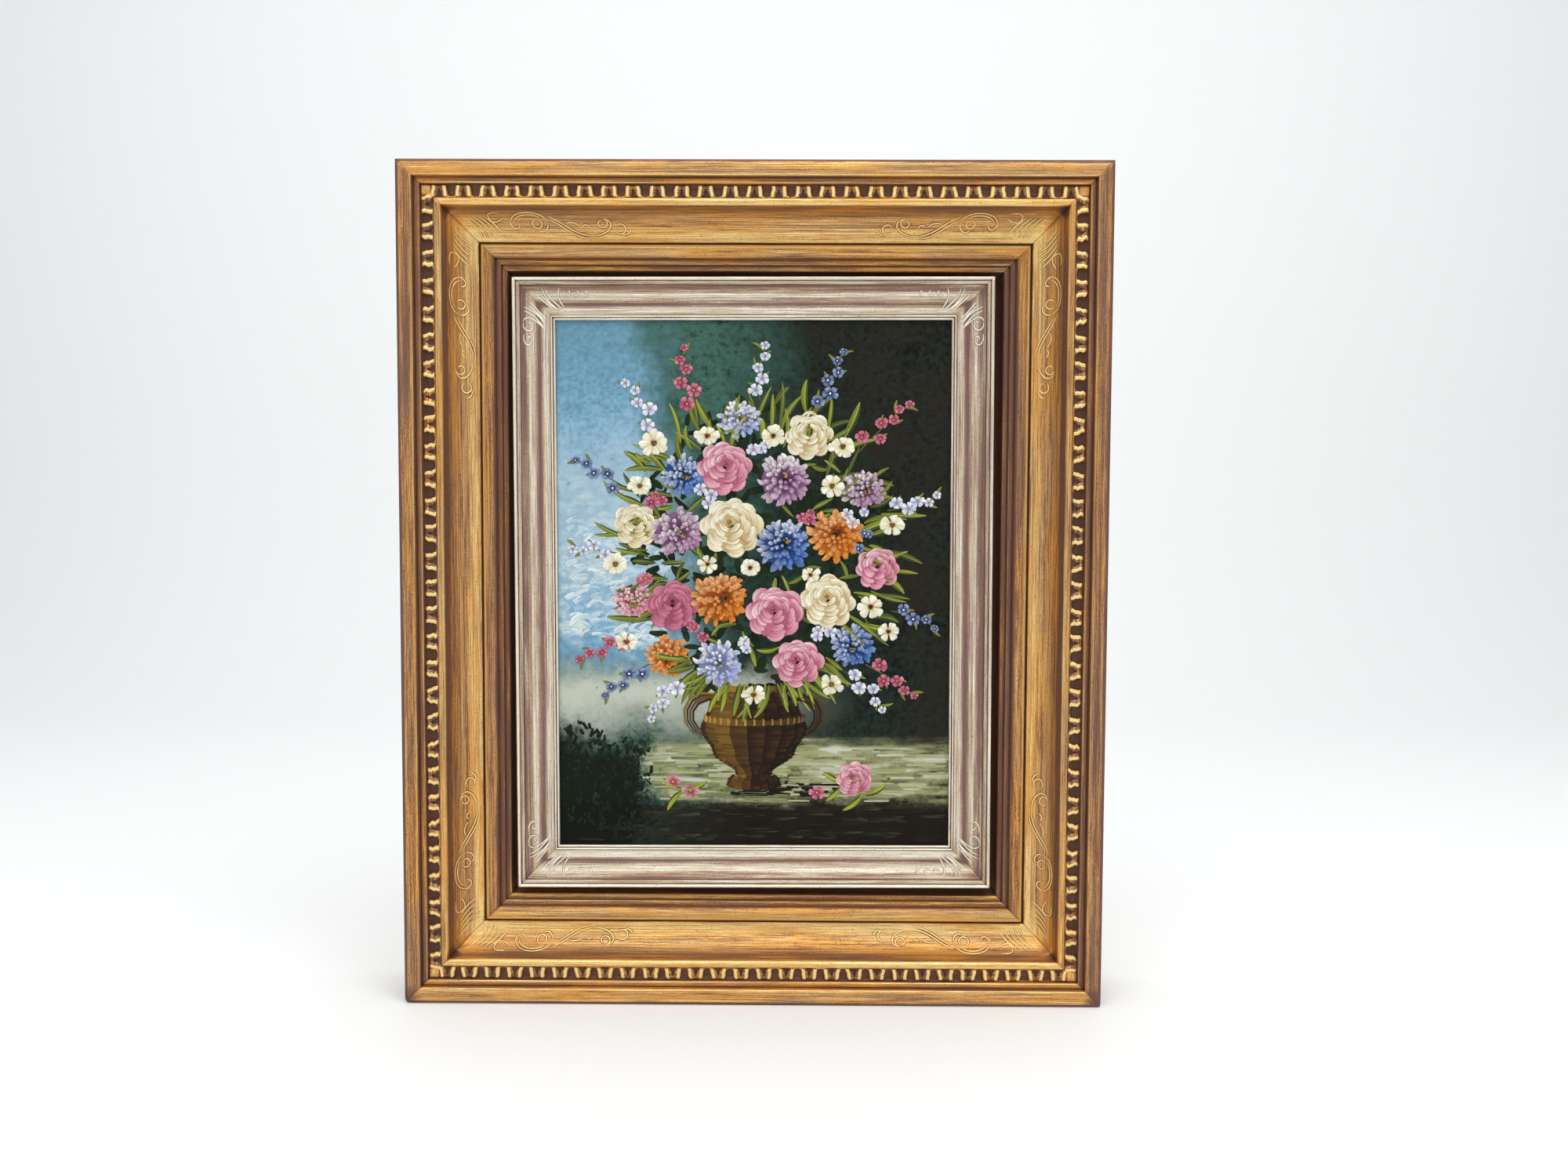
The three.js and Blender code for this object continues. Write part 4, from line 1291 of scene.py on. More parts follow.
class Brush:
    """Gathers strokes of paint, then lays them all as one mesh."""

    ACROSS = (-0.5, -0.43, -0.22, 0.0, 0.22, 0.43, 0.5)

    def __init__(self, seed):
        self.rng = random.Random(seed)
        self.strokes = []

    def stroke(self, path, width, thick, lift, colours, shape=dab_shape):
        """A stroke along up to four points, from the first colour to the second, lift over the canvas."""
        self.strokes.append((bezier(*path), width, thick, lift, colours, shape))

    def lay(self, name, paint, along=6):
        picture, sheet, rng = Picture(), Sheet(), self.rng
        across = len(self.ACROSS) - 1
        columns = max(4, round(math.sqrt(len(self.strokes))))
        rows = math.ceil(len(self.strokes) / columns)
        step = 0.02
        for number, group in enumerate(sheet.patches(len(self.strokes), along, across)):
            path, width, thick, lift, (first, last), shape = self.strokes[number]
            ridges = [rng.uniform(0.45, 1.15) for _ in self.ACROSS]
            loads = [rng.uniform(0.45, 1.2) for _ in self.ACROSS]
            shades = [rng.uniform(0.86, 1.12) for _ in self.ACROSS]
            seed = rng.uniform(0, 40)
            reach = math.dist(path(0), path(1))
            for vert, u, v in group:
                before, after = path(max(0, u - step)), path(min(1, u + step))
                away = Vector((before[1] - after[1], after[0] - before[0]))
                away = away.normalized() if away.length > 0 else Vector((0, 1))
                wide, crown = shape(u)
                k = round(v * across)
                offset = self.ACROSS[k] * width * wide
                x, z = path(u)
                x = min(SIGHT[0] - 0.4, max(0.4 - SIGHT[0], x + away.x * offset))
                z = min(SIGHT[1] - 0.4, max(0.4 - SIGHT[1], z + away.y * offset))
                inside = 0 < k < across and 0.01 < u < 0.99
                rise = lift + thick * crown * ridges[k] if inside else -0.05
                load = min(1.0, loads[k] * smooth(u, 0.0, 0.85))
                tone = tuple(min(1.0, channel * shades[k]) for channel in blend(first, last, load))
                bake = cell(number, columns, 0, 1, u, v, rows=rows)
                sheet.put(
                    vert, picture.world(x, z, rise), bake,
                    (u * reach * MM, (v - 0.5) * width * MM, seed), tone,
                )
        sheet.lay_bake_map()
        return sheet.piece(name, [paint], [])


def impasto(name):
    """Oil paint that keeps the marks of the bristles."""
    s = Shader(name, **{"IOR": 1.5, "Specular IOR Level": 0.14})
    rail = s.attribute("rail").outputs["Vector"]
    tint = s.attribute("tone").outputs["Color"]
    bristle = s.noise(s.stretched(rail, (90, 3600, 3)), detail=3, rough=0.6)
    broad = s.noise(s.stretched(rail, (60, 900, 3)), detail=2)
    shade = bristle * 0.9 + broad * 0.5 + 0.3
    tone = s.node("ShaderNodeVectorMath", {"operation": "SCALE"}, {0: tint, "Scale": shade}).outputs[0]
    return s.set(
        base_color=tone, roughness=0.4 + broad * 0.2, normal=s.bump(bristle + broad * 0.5, 0.12 * MM, 0.9)
    )


def around(middle, radius, angle, squash=1.0):
    """A point at an angle in radians round a middle."""
    return middle[0] + radius * math.cos(angle), middle[1] + radius * math.sin(angle) * squash


def lit_share(angle):
    """How much light a petal at that angle catches from the upper left."""
    return 0.5 + 0.5 * math.cos(angle - 2.2)


def paint_heart(brush, middle, radius, heart, light, lift):
    rng = brush.rng
    for i in range(10):
        spot = around(middle, rng.uniform(0, radius), rng.uniform(0, 6.3))
        tip = around(spot, radius * 0.7, rng.uniform(0, 6.3))
        ends = (blend(heart, (0, 0, 0), 0.5 * (i % 2)), blend(heart, light, 0.25 * (i % 3)))
        brush.stroke((spot, tip), radius * 0.42, 0.16, lift, ends, line_shape)


def paint_dahlia(brush, middle, radius, colours, heart, lift):
    """A round bloom of narrow petals in rings, dark between them and pale at their tips."""
    dark, body, light = colours
    rng = brush.rng
    gaze, squash = rng.uniform(0, 2 * math.pi), rng.uniform(0.82, 1.0)
    for i in range(10):
        angle = 2 * math.pi * i / 10
        path = (around(middle, radius * 0.1, angle), around(middle, radius * 0.8, angle, squash))
        brush.stroke(path, radius * 0.6, 0.05, lift - 0.04, (dark, blend(dark, body, 0.3)), round_petal_shape)
    for ring, count in enumerate((19, 17, 14, 11, 8)):
        share = ring / 5
        here = around(middle, radius * 0.24 * share, gaze)
        for i in range(count):
            angle = 2 * math.pi * (i + 0.5 * (ring % 2)) / count + rng.uniform(-0.13, 0.13)
            curl = rng.uniform(-0.3, 0.45)
            reach = radius * (1 - 0.8 * share) * rng.uniform(0.86, 1.08)
            inner = radius * (0.55 - 0.45 * share)
            bright = min(1.0, 0.1 + 0.95 * lit_share(angle) * rng.uniform(0.5, 1.25) + 0.15 * share)
            ends = (blend(dark, body, 0.05 + 0.35 * share), blend(body, light, bright))
            path = (
                around(here, inner, angle, squash),
                around(here, (inner + reach) * 0.52, angle + curl, squash),
                around(here, reach, angle + 0.15 * curl, squash),
            )
            width = 2 * math.pi * reach / count * rng.uniform(0.5, 0.78)
            brush.stroke(path, width, 0.14, lift + 0.04 * ring, ends, petal_shape)
    paint_heart(brush, around(middle, radius * 0.2, gaze), radius * 0.13, heart, light, lift + 0.2)


def paint_rose(brush, middle, radius, colours, heart, lift):
    """A full bloom of broad cupped petals, laid as crescents that close round a deep heart."""
    dark, body, light = colours
    rng = brush.rng
    tilt = rng.uniform(1.2, 2.4)
    for i in range(10):
        angle = 2 * math.pi * i / 10
        path = (around(middle, radius * 0.05, angle), around(middle, radius * 0.9, angle, 0.94))
        tint = blend(dark, body, 0.3 + 0.4 * lit_share(angle))
        ends = (blend(dark, body, 0.3), tint)
        brush.stroke(path, radius * 0.66, 0.06, lift - 0.04, ends, round_petal_shape)
    for ring, count in enumerate((8, 7, 6, 5, 4)):
        share = ring / 5
        here = around(middle, radius * 0.22 * share, tilt)
        for i in range(count):
            angle = 2 * math.pi * (i + 0.37 * ring) / count + rng.uniform(-0.15, 0.15)
            at = radius * (0.86 - 0.7 * share) * rng.uniform(0.92, 1.06)
            half = math.pi / count * rng.uniform(1.0, 1.3)
            for layer, offset, strength in ((0, 0.0, 0.35), (1, 0.055, 0.85)):
                far = at + radius * offset
                path = (
                    around(here, far * 0.86, angle - half, 0.95),
                    around(here, far * 1.16, angle - half * 0.4, 0.95),
                    around(here, far * 1.16, angle + half * 0.4, 0.95),
                    around(here, far * 0.86, angle + half, 0.95),
                )
                glow = strength * min(1.0, 0.3 + 0.9 * lit_share(angle) * rng.uniform(0.7, 1.1))
                ends = (blend(dark, body, 0.3 + 0.4 * layer), blend(body, light, glow))
                width = radius * mix(0.26, 0.15, share) * (1 - 0.5 * layer)
                brush.stroke(path, width, 0.13, lift + 0.04 * ring + 0.03 * layer, ends, crescent_shape)
    deep = around(middle, radius * 0.2, tilt)
    path = (around(deep, radius * 0.08, 2.6), deep, around(deep, radius * 0.1, 5.8))
    brush.stroke(path, radius * 0.16, 0.05, lift + 0.24, (dark, blend(dark, (0, 0, 0), 0.5)), leaf_shape)
    paint_heart(brush, deep, radius * 0.07, heart, light, lift + 0.28)


def paint_daisy(brush, middle, radius, light, shadow, heart, lift=0.6):
    """An open flower of one row of broad petals round a raised heart."""
    rng = brush.rng
    turn, count = rng.uniform(0, 1), rng.choice((6, 7, 8))
    squash = rng.uniform(0.72, 1.0)
    for i in range(count):
        angle = turn + 2 * math.pi * i / count + rng.uniform(-0.1, 0.1)
        reach = radius * rng.uniform(0.85, 1.08)
        path = (
            around(middle, radius * 0.16, angle, squash),
            around(middle, reach * 0.6, angle + rng.uniform(-0.2, 0.2), squash),
            around(middle, reach, angle, squash),
        )
        ends = (shadow, blend(light, shadow, rng.uniform(0, 0.4)))
        brush.stroke(path, radius * 0.62, 0.2, lift, ends, round_petal_shape)
    for i in range(6):
        spot = around(middle, radius * 0.1, 1.05 * i, squash)
        ends = (blend(heart, (0.02, 0, 0), 0.4 * (i % 2)), blend(heart, light, 0.3 * (i % 2)))
        path = (spot, around(spot, radius * 0.13, 1.05 * i + 0.8))
        brush.stroke(path, radius * 0.15, 0.16, lift + 0.2, ends)


def paint_blossom(brush, middle, radius, light, shadow, heart, lift=0.5, petals=5):
    """A small flower of a few round petals."""
    rng = brush.rng
    turn = rng.uniform(0, 1)
    for i in range(petals):
        angle = turn + 2 * math.pi * i / petals
        reach = radius * rng.uniform(0.85, 1.1)
        path = (around(middle, radius * 0.12, angle, 0.85), around(middle, reach, angle, 0.85))
        ends = (shadow, blend(light, shadow, rng.uniform(0, 0.4)))
        brush.stroke(path, radius * 0.78, 0.18, lift, ends, round_petal_shape)
    path = (around(middle, radius * 0.12, 0.5), around(middle, radius * 0.16, 3.6))
    brush.stroke(path, radius * 0.26, 0.16, lift + 0.18, (heart, heart))


def paint_leaf(brush, root, angle, reach, width, dark, light, lift=0.08, bend=0.5):
    """A pointed leaf in two strokes, one dark and one lit, with a fine midrib."""
    rng = brush.rng
    bow = bend * rng.uniform(-1, 1)
    middle = around(root, reach * 0.55, angle + bow * 0.6)
    tip = around(root, reach, angle + bow * -0.35)
    aside = Vector((-math.sin(angle), math.cos(angle))) * width * 0.22
    for sign, ends in ((-1, (dark, blend(dark, light, 0.3))), (1, (blend(dark, light, 0.5), light))):
        shifted = (middle[0] + sign * aside.x, middle[1] + sign * aside.y)
        brush.stroke((root, shifted, tip), width * 0.62, 0.14, lift + 0.03 * (sign + 1), ends, leaf_shape)
    glint = blend(light, (1, 1, 0.62), 0.35)
    brush.stroke((root, middle, tip), width * 0.14, 0.12, lift + 0.12, (light, glint), line_shape)


def paint_sprig(brush, root, angle, reach, stem, flowers):
    """A thin bowed stem, with whatever flowers(point, share) paints along it."""
    rng = brush.rng
    bow = rng.uniform(-0.4, 0.4)
    path = (root, around(root, reach * 0.55, angle + bow), around(root, reach, angle))
    dark = blend(stem, (0, 0, 0), 0.55)
    brush.stroke(path, 0.9, 0.12, 0.1, (dark, stem), line_shape)
    along = bezier(*path)
    count = max(3, round(reach / 6.5))
    for i in range(1, count + 1):
        share = i / count
        side = 1 if i % 2 else -1
        point = around(along(share), rng.uniform(1.5, 4.5) * (1.2 - share), angle + side * 1.3)
        turned = angle + side * rng.uniform(0.5, 0.9)
        paint_leaf(brush, along(share * 0.9), turned, 8.5, 2.4, dark, stem)
        flowers(point, share)


class PaintColours(bpy.types.PropertyGroup):
    """The oil colours of the picture."""

    sky: colour("Sky", "Pale blue sky", (132, 182, 214))
    cloud: colour("Cloud", "Warm white of the clouds", (222, 228, 220))
    teal: colour("Teal", "Green-blue scumble beside the sky", (70, 108, 96))
    night: colour("Night", "Dark brown behind the flowers", (24, 17, 13))
    ledge: colour("Ledge", "Pale olive of the ledge", (158, 160, 112))
    shrub: colour("Shrub", "Dark green at the lower corner", (19, 23, 17))
    moss: colour("Moss", "Dark green of shaded leaves", (34, 52, 26))
    leaf: colour("Leaf", "Yellow-green of lit leaves", (158, 166, 52))
    earth: colour("Earthenware", "Dark brown of the urn", (48, 25, 19))
    ochre: colour("Ochre", "Light on the urn and flower hearts", (208, 160, 58))
    cream: colour("Cream", "Warm white petals", (238, 228, 190))
    pink: colour("Pink", "Pink petals", (222, 142, 164))
    rose: colour("Rose", "Deep rose in the petals' shade", (146, 44, 78))
    lilac: colour("Lilac", "Lilac petals", (186, 138, 176))
    plum: colour("Plum", "Purple in the petals' shade", (84, 44, 80))
    orange: colour("Orange", "Orange petals", (232, 140, 24))
    rust: colour("Rust", "Rust in the petals' shade", (138, 58, 14))
    blue: colour("Blue", "Strong blue petals", (58, 118, 196))
    navy: colour("Navy", "Dark blue in the petals' shade", (22, 40, 92))
    mist: colour("Mist", "Pale blue-violet petals", (164, 176, 222))
    white: colour("White", "White highlights", (250, 248, 240))


def ellipse_point(rng, middle, radii):
    angle, share = rng.uniform(0, 2 * math.pi), math.sqrt(rng.random())
    return middle[0] + radii[0] * share * math.cos(angle), middle[1] + radii[1] * share * math.sin(angle)


DOME = ((2, 20), (74, 82))
URN_FOOT, URN_RIM = -114.0, -57.0
URN_AXIS = 0.0
URN_OUTLINE = ((0.0, 15), (0.06, 14), (0.12, 9.5), (0.32, 23), (0.56, 30), (0.8, 25), (0.92, 18.5), (1.0, 22))


def urn_radius(share):
    for (low, r0), (high, r1) in zip(URN_OUTLINE, URN_OUTLINE[1:]):
        if share <= high:
            return mix(r0, r1, smooth(share, low, high))
    return URN_OUTLINE[-1][1]


def paint_background(brush, c):
    """Clouds, scumbled air, the ledge's strokes and the shrub."""
    rng = brush.rng
    for _ in range(190):
        x, z = rng.uniform(-107, -52), rng.uniform(-40, 26)
        z -= (x + 70) * 0.35
        reach, angle = rng.uniform(5, 12), rng.uniform(-0.4, 0.8)
        tint = blend(c["sky"], c["cloud"], rng.uniform(0.15, 0.85))
        path = ((x, z), around((x, z), reach * 0.5, angle + 0.5), around((x, z), reach, angle))
        width = rng.uniform(1.8, 3.6)
        brush.stroke(path, width, 0.06, -0.03, (tint, blend(tint, c["white"], 0.3 * rng.random())))
    for _ in range(230):
        x, z = rng.uniform(-107, -10), rng.uniform(-66, 144)
        shade = smooth(x + z * 0.2 + rng.uniform(-16, 16), -66, -30)
        ends = [blend(c["sky"], c["teal"], 0.35 * rng.random()) for _ in range(2)]
        ends = [blend(end, blend(c["teal"], c["moss"], 0.6 * rng.random()), shade) for end in ends]
        angle = rng.uniform(0, 3.1)
        path = ((x, z), around((x, z), rng.uniform(4, 8), angle))
        brush.stroke(path, rng.uniform(1.6, 3.2), 0.04, -0.035, ends)
    for _ in range(190):
        x, z = rng.uniform(-66, 104), rng.uniform(-123, -92)
        reach = rng.uniform(8, 30)
        light = blend(c["ledge"], c["cloud"], rng.uniform(0, 0.55) ** 1.5)
        shade = blend(c["ledge"], c["moss"], rng.uniform(0.1, 0.7))
        lit = rng.random() < (0.88 if abs(z + 107) < 11 else 0.45)
        first = light if lit else shade
        path = ((x, z), (x + reach * 0.5, z + rng.uniform(-0.8, 0.8)), (x + reach, z))
        brush.stroke(path, rng.uniform(0.9, 2.6), 0.07, -0.02, (first, blend(first, c["ledge"], 0.5)))
    for _ in range(230):
        x, z = rng.uniform(-108, -58), rng.uniform(-144, -84)
        z -= (x + 85) * 0.4
        deep = blend(c["shrub"], (0, 0, 0), rng.uniform(0.2, 0.8))
        ends = (deep, blend(c["shrub"], c["moss"], rng.random()))
        path = ((x, z), around((x, z), rng.uniform(2, 7), rng.uniform(0.6, 2.4)))
        brush.stroke(path, rng.uniform(1, 2.2), 0.1, -0.02, ends)
    for _ in range(110):
        x, z = rng.uniform(-104, 100), rng.uniform(-145, -126)
        dark = blend(c["night"], c["shrub"], rng.random())
        path = ((x, z), (x + rng.uniform(8, 24), z + rng.uniform(-1, 1)))
        width = rng.uniform(1, 2.4)
        brush.stroke(path, width, 0.06, -0.03, (dark, blend(dark, c["ledge"], 0.16 * rng.random())))


def paint_urn(brush, c):
    """A dark brown two-handled urn, lit at its left, and its shadow on the ledge."""
    rng = brush.rng
    dark, light = c["earth"], c["ochre"]
    for _ in range(34):
        z = URN_FOOT + rng.uniform(-6, 2)
        x = URN_AXIS + rng.uniform(-18, 46)
        tint = blend(c["shrub"], c["night"], rng.random())
        brush.stroke(((x, z), (x + rng.uniform(8, 20), z - 0.6)), 2.0, 0.05, 0.0, (tint, tint))
    rows, pieces = 36, 9
    for row in range(rows + 1):
        share = row / rows
        z, half = mix(URN_FOOT, URN_RIM, share), urn_radius(share)

        def at(around_it):
            angle = around_it * math.pi / 2
            return URN_AXIS + half * math.sin(angle), z + 1.4 - 3.0 * math.cos(angle)

        for i in range(pieces):
            left = -1 + 2 * i / pieces
            right = min(1.0, left + 2.5 / pieces)
            middle = (left + right) / 2
            shine = max(0.0, 1 - abs(middle + 0.5) * 2.6) * rng.uniform(0.3, 1.0)
            rim = 0.3 * (share > 0.96) + 0.16 * (0.62 < share < 0.68)
            body = blend(dark, (0.004, 0.002, 0.002), max(0.0, 0.3 + 0.75 * middle))
            body = blend(body, light, min(0.7, 0.36 * shine + rim * max(0.1, 0.7 - 0.5 * middle)))
            ends = (body, blend(body, light, 0.07 * rng.random()))
            brush.stroke((at(left), at(middle), at(right)), 2.5, 0.1, 0.12, ends)
    for sign in (-1, 1):
        for i in range(4):
            path = (
                (URN_AXIS + sign * (20.5 - i), -62 - i),
                (URN_AXIS + sign * (43 - 2 * i), -55 - 2 * i),
                (URN_AXIS + sign * (46 - 2 * i), -83 + i),
                (URN_AXIS + sign * (28 - i * 0.6), -87 + i),
            )
            share = (0.4, 0.08, 0.2, 0.02)[i] if sign < 0 else (0.14, 0.0, 0.06, 0.0)[i]
            tint = blend(dark, light, share)
            brush.stroke(path, 1.9, 0.2, 0.2 + 0.05 * i, (tint, blend(tint, dark, 0.5)), line_shape)
    for i in range(17):
        at = -0.95 + 1.9 * i / 16
        x = URN_AXIS + urn_radius(0.66) * math.sin(at * math.pi / 2)
        z = mix(URN_FOOT, URN_RIM, 0.66) - 3.0 * math.cos(at * math.pi / 2) + 1.4
        tint = blend(light, dark, 0.35 + 0.55 * max(0.0, at + 0.2))
        path = ((x, z + 2.2), (x + 0.9, z), (x, z - 2.2))
        brush.stroke(path, 1.2, 0.2, 0.3, (tint, blend(tint, c["cream"], 0.12)))


def paint_foliage(brush, c):
    """Shaded leaves inside the bunch, long lit ones round it, and sprays that hang over the rim."""
    rng = brush.rng
    for _ in range(420):
        x, z = ellipse_point(rng, DOME[0], DOME[1])
        deep = blend(c["moss"], (0, 0, 0), rng.uniform(0.35, 0.9))
        angle, reach = rng.uniform(0, 6.3), rng.uniform(8, 14)
        path = ((x, z), around((x, z), reach * 0.5, angle + 0.3), around((x, z), reach, angle))
        width = rng.uniform(2.6, 5)
        brush.stroke(path, width, 0.1, 0.0, (deep, blend(c["moss"], deep, rng.random())), leaf_shape)
    for i in range(96):
        angle = math.radians(mix(-36, 216, i / 95)) + rng.uniform(-0.06, 0.06)
        share = rng.uniform(0.7, 1.0)
        root = (
            DOME[0][0] + DOME[1][0] * share * math.cos(angle),
            DOME[0][1] + DOME[1][1] * share * math.sin(angle),
        )
        lit = blend(c["leaf"], c["moss"], rng.uniform(0, 0.8))
        turned = angle + rng.uniform(-0.6, 0.6)
        paint_leaf(brush, root, turned, rng.uniform(12, 27), rng.uniform(2.8, 5.4), c["moss"], lit)
    for i in range(40):
        angle = math.radians(mix(198, 342, i / 39)) + rng.uniform(-0.08, 0.08)
        root = (DOME[0][0] + 40 * math.cos(angle), -34 + 22 * math.sin(angle))
        lit = blend(c["leaf"], c["moss"], rng.uniform(0, 0.6))
        turned = angle + rng.uniform(-0.5, 0.5)
        paint_leaf(brush, root, turned, rng.uniform(12, 24), rng.uniform(3, 5), c["moss"], lit, lift=0.3)
    for _ in range(60):
        x, z = ellipse_point(rng, DOME[0], (DOME[1][0] * 0.85, DOME[1][1] * 0.85))
        lit = blend(c["leaf"], c["moss"], rng.uniform(0.1, 0.7))
        angle, reach, width = rng.uniform(0, 6.3), rng.uniform(9, 15), rng.uniform(2.6, 4.2)
        paint_leaf(brush, (x, z), angle, reach, width, c["moss"], lit, lift=0.12)
    for point in ((52, -113), (62, -119), (-40, -117)):
        for angle in (0.3, 2.7, 3.9):
            paint_leaf(brush, point, angle, 15, 4.2, c["moss"], c["leaf"], lift=0.05)


# Blooms as (middle, radius, kind, way of painting, depth in the bunch).
BLOOMS = (
    ((-40, 62), 13.5, "blue", paint_dahlia, 0), ((-8, 93), 13, "mist", paint_dahlia, 0),
    ((31, 84), 14, "cream", paint_rose, 0), ((62, 54), 13.5, "lilac", paint_dahlia, 0),
    ((70, 10), 12.5, "pink", paint_rose, 0), ((-66, 34), 13, "cream", paint_rose, 0),
    ((-68, -8), 12.5, "pink", paint_dahlia, 0), ((-49, -40), 13, "orange", paint_dahlia, 0),
    ((56, -34), 13.5, "blue", paint_dahlia, 0), ((57, -110), 10.5, "pink", paint_rose, 0),
    ((-16, 66), 15.5, "pink", paint_rose, 1), ((17, 59), 16, "lilac", paint_dahlia, 1),
    ((-43, 30), 16, "lilac", paint_dahlia, 1), ((46, 28), 16.5, "orange", paint_dahlia, 1),
    ((-46, -12), 15, "rose", paint_rose, 1), ((42, -9), 15.5, "cream", paint_rose, 1),
    ((-20, -44), 14.5, "mist", paint_dahlia, 1), ((25, -44), 14.5, "pink", paint_rose, 1),
    ((-12, 33), 17.5, "cream", paint_rose, 2), ((17, 23), 16.5, "blue", paint_dahlia, 2),
    ((-19, -8), 17, "orange", paint_dahlia, 2), ((12, -16), 16.5, "pink", paint_rose, 2),
)
DAISIES = (
    ((-56, 80), 8), ((-26, 84), 7.5), ((11, 84), 7), ((50, 78), 8), ((44, 56), 7), ((78, 34), 7.5),
    ((-78, 12), 7.5),
    ((-64, 56), 7), ((66, -12), 7.5), ((76, -26), 7), ((-72, -32), 7), ((-2, 10), 6), ((0, -62), 7.5),
    ((44, -56), 7), ((-26, 12), 6), ((32, 6), 6),
)
SPRIGS = (
    ((-54, 84), 120, 34, "white"), ((-30, 96), 104, 38, "pink"), ((4, 102), 84, 32, "white"),
    ((34, 96), 66, 38, "blue"), ((58, 74), 44, 40, "pink"), ((74, 42), 16, 30, "white"),
    ((76, -14), -20, 28, "blue"),
    ((-70, 54), 150, 34, "blue"), ((-76, 18), 176, 26, "white"), ((-68, -26), 206, 34, "pink"),
    ((50, -48), -46, 32, "white"), ((-40, -52), 232, 30, "white"), ((-58, -44), 214, 32, "blue"),
    ((62, -44), -34, 34, "pink"),
)


def bloom_colours(c, kind):
    """Dark, body and light colours of a bloom, and its heart."""
    return {
        "cream": (blend(c["ochre"], c["earth"], 0.45), c["cream"], c["white"], c["ochre"]),
        "pink": (c["rose"], c["pink"], blend(c["pink"], c["white"], 0.75), c["ochre"]),
        "rose": (blend(c["rose"], c["earth"], 0.4), blend(c["rose"], c["pink"], 0.6), c["pink"], c["earth"]),
        "lilac": (c["plum"], c["lilac"], blend(c["lilac"], c["white"], 0.75), c["ochre"]),
        "orange": (c["rust"], c["orange"], blend(c["orange"], c["cream"], 0.4), c["earth"]),
        "blue": (c["navy"], c["blue"], blend(c["blue"], c["white"], 0.7), c["ochre"]),
        "mist": (blend(c["navy"], c["mist"], 0.3), c["mist"], c["white"], c["ochre"]),
    }[kind]


def paint_blooms(brush, c):
    for middle, radius, kind, work, depth in BLOOMS:
        dark, body, light, heart = bloom_colours(c, kind)
        work(brush, middle, radius, (dark, body, light), heart, 0.14 + 0.25 * depth)


def paint_small_flowers(brush, c):
    rng = brush.rng
    for middle, radius in DAISIES:
        paint_daisy(brush, middle, radius, c["white"], blend(c["cream"], c["leaf"], 0.3), c["rust"])
    tints = {
        "white": (c["white"], c["mist"], c["orange"]),
        "pink": (c["pink"], c["rose"], c["ochre"]),
        "blue": (blend(c["blue"], c["white"], 0.3), c["navy"], c["white"]),
    }
    stem = blend(c["leaf"], c["moss"], 0.4)
    for root, degrees, reach, kind in SPRIGS:
        def flower(point, share, colours=tints[kind]):
            paint_blossom(brush, point, mix(5.0, 2.6, share) * rng.uniform(0.9, 1.15), *colours)

        paint_sprig(brush, root, math.radians(degrees), reach, stem, flower)
    spots = (
        (-54, 46), (58, 38), (-26, 50), (30, 40), (2, 78), (-60, 8), (60, 26), (-32, -26), (-2, -34),
        (38, -28),
    )
    for x, z in spots:
        colours = tints[rng.choice(list(tints))]
        for _ in range(3):
            point = around((x, z), rng.uniform(2, 6), rng.uniform(0, 6.3))
            paint_blossom(brush, point, rng.uniform(2.8, 4.4), *colours)
    for point in ((-46, -112), (-36, -117), (36, -118)):
        paint_blossom(brush, point, 4.6, *tints["pink"], lift=0.1)


# ---------------------------------------------------------------------- the stage

def area_light(name, place, aim, size, energy, tint=(1, 1, 1)):
    data = bpy.data.lights.new(name, "AREA")
    data.shape = "RECTANGLE"
    data.size, data.size_y = size
    data.energy = energy
    data.color = tint
    light = bpy.data.objects.new(name, data)
    light.location = place
    light.rotation_euler = (Vector(aim) - Vector(place)).to_track_quat("-Z", "Y").to_euler()
    bpy.context.collection.objects.link(light)


def pale_sweep(sizes):
    """A floor that curves up into a back wall."""
    bm = bmesh.new()
    floor_z = FRAME_LOW.z
    front = bmesh.ops.create_grid(bm, x_segments=1, y_segments=1, size=0.5)["verts"]
    for vert in front:
        vert.co = (vert.co.x * 6, mix(-2.4, 0.9, vert.co.y + 0.5), floor_z)
    back = [edge for edge in bm.edges if all(vert.co.y > 0.8 for vert in edge.verts)]
    radius = 0.5
    bmesh.ops.spin(
        bm, geom=back + [vert for vert in bm.verts if vert.co.y > 0.8], cent=(0, 0.9, floor_z + radius),
        axis=(1, 0, 0), angle=math.pi / 2, steps=16,
    )
    top = [
        edge for edge in bm.edges
        if edge.is_boundary and all(v.co.y > 0.9 + radius - 1e-4 for v in edge.verts)
    ]
    raised = bmesh.ops.extrude_edge_only(bm, edges=top)["geom"]
    bmesh.ops.translate(bm, verts=[v for v in raised if isinstance(v, bmesh.types.BMVert)], vec=(0, 0, 2.4))
    bmesh.ops.recalc_face_normals(bm, faces=bm.faces)
    mesh = bpy.data.meshes.new("pale_sweep")
    bm.to_mesh(mesh)
    bm.free()
    mesh.polygons.foreach_set("use_smooth", [True] * len(mesh.polygons))
    sweep = bpy.data.objects.new("pale_sweep", mesh)
    bpy.context.collection.objects.link(sweep)
    paper = Shader("pale_paper", Roughness=0.9)
    mesh.materials.append(paper.set(base_color=tuple(sizes.paper)))


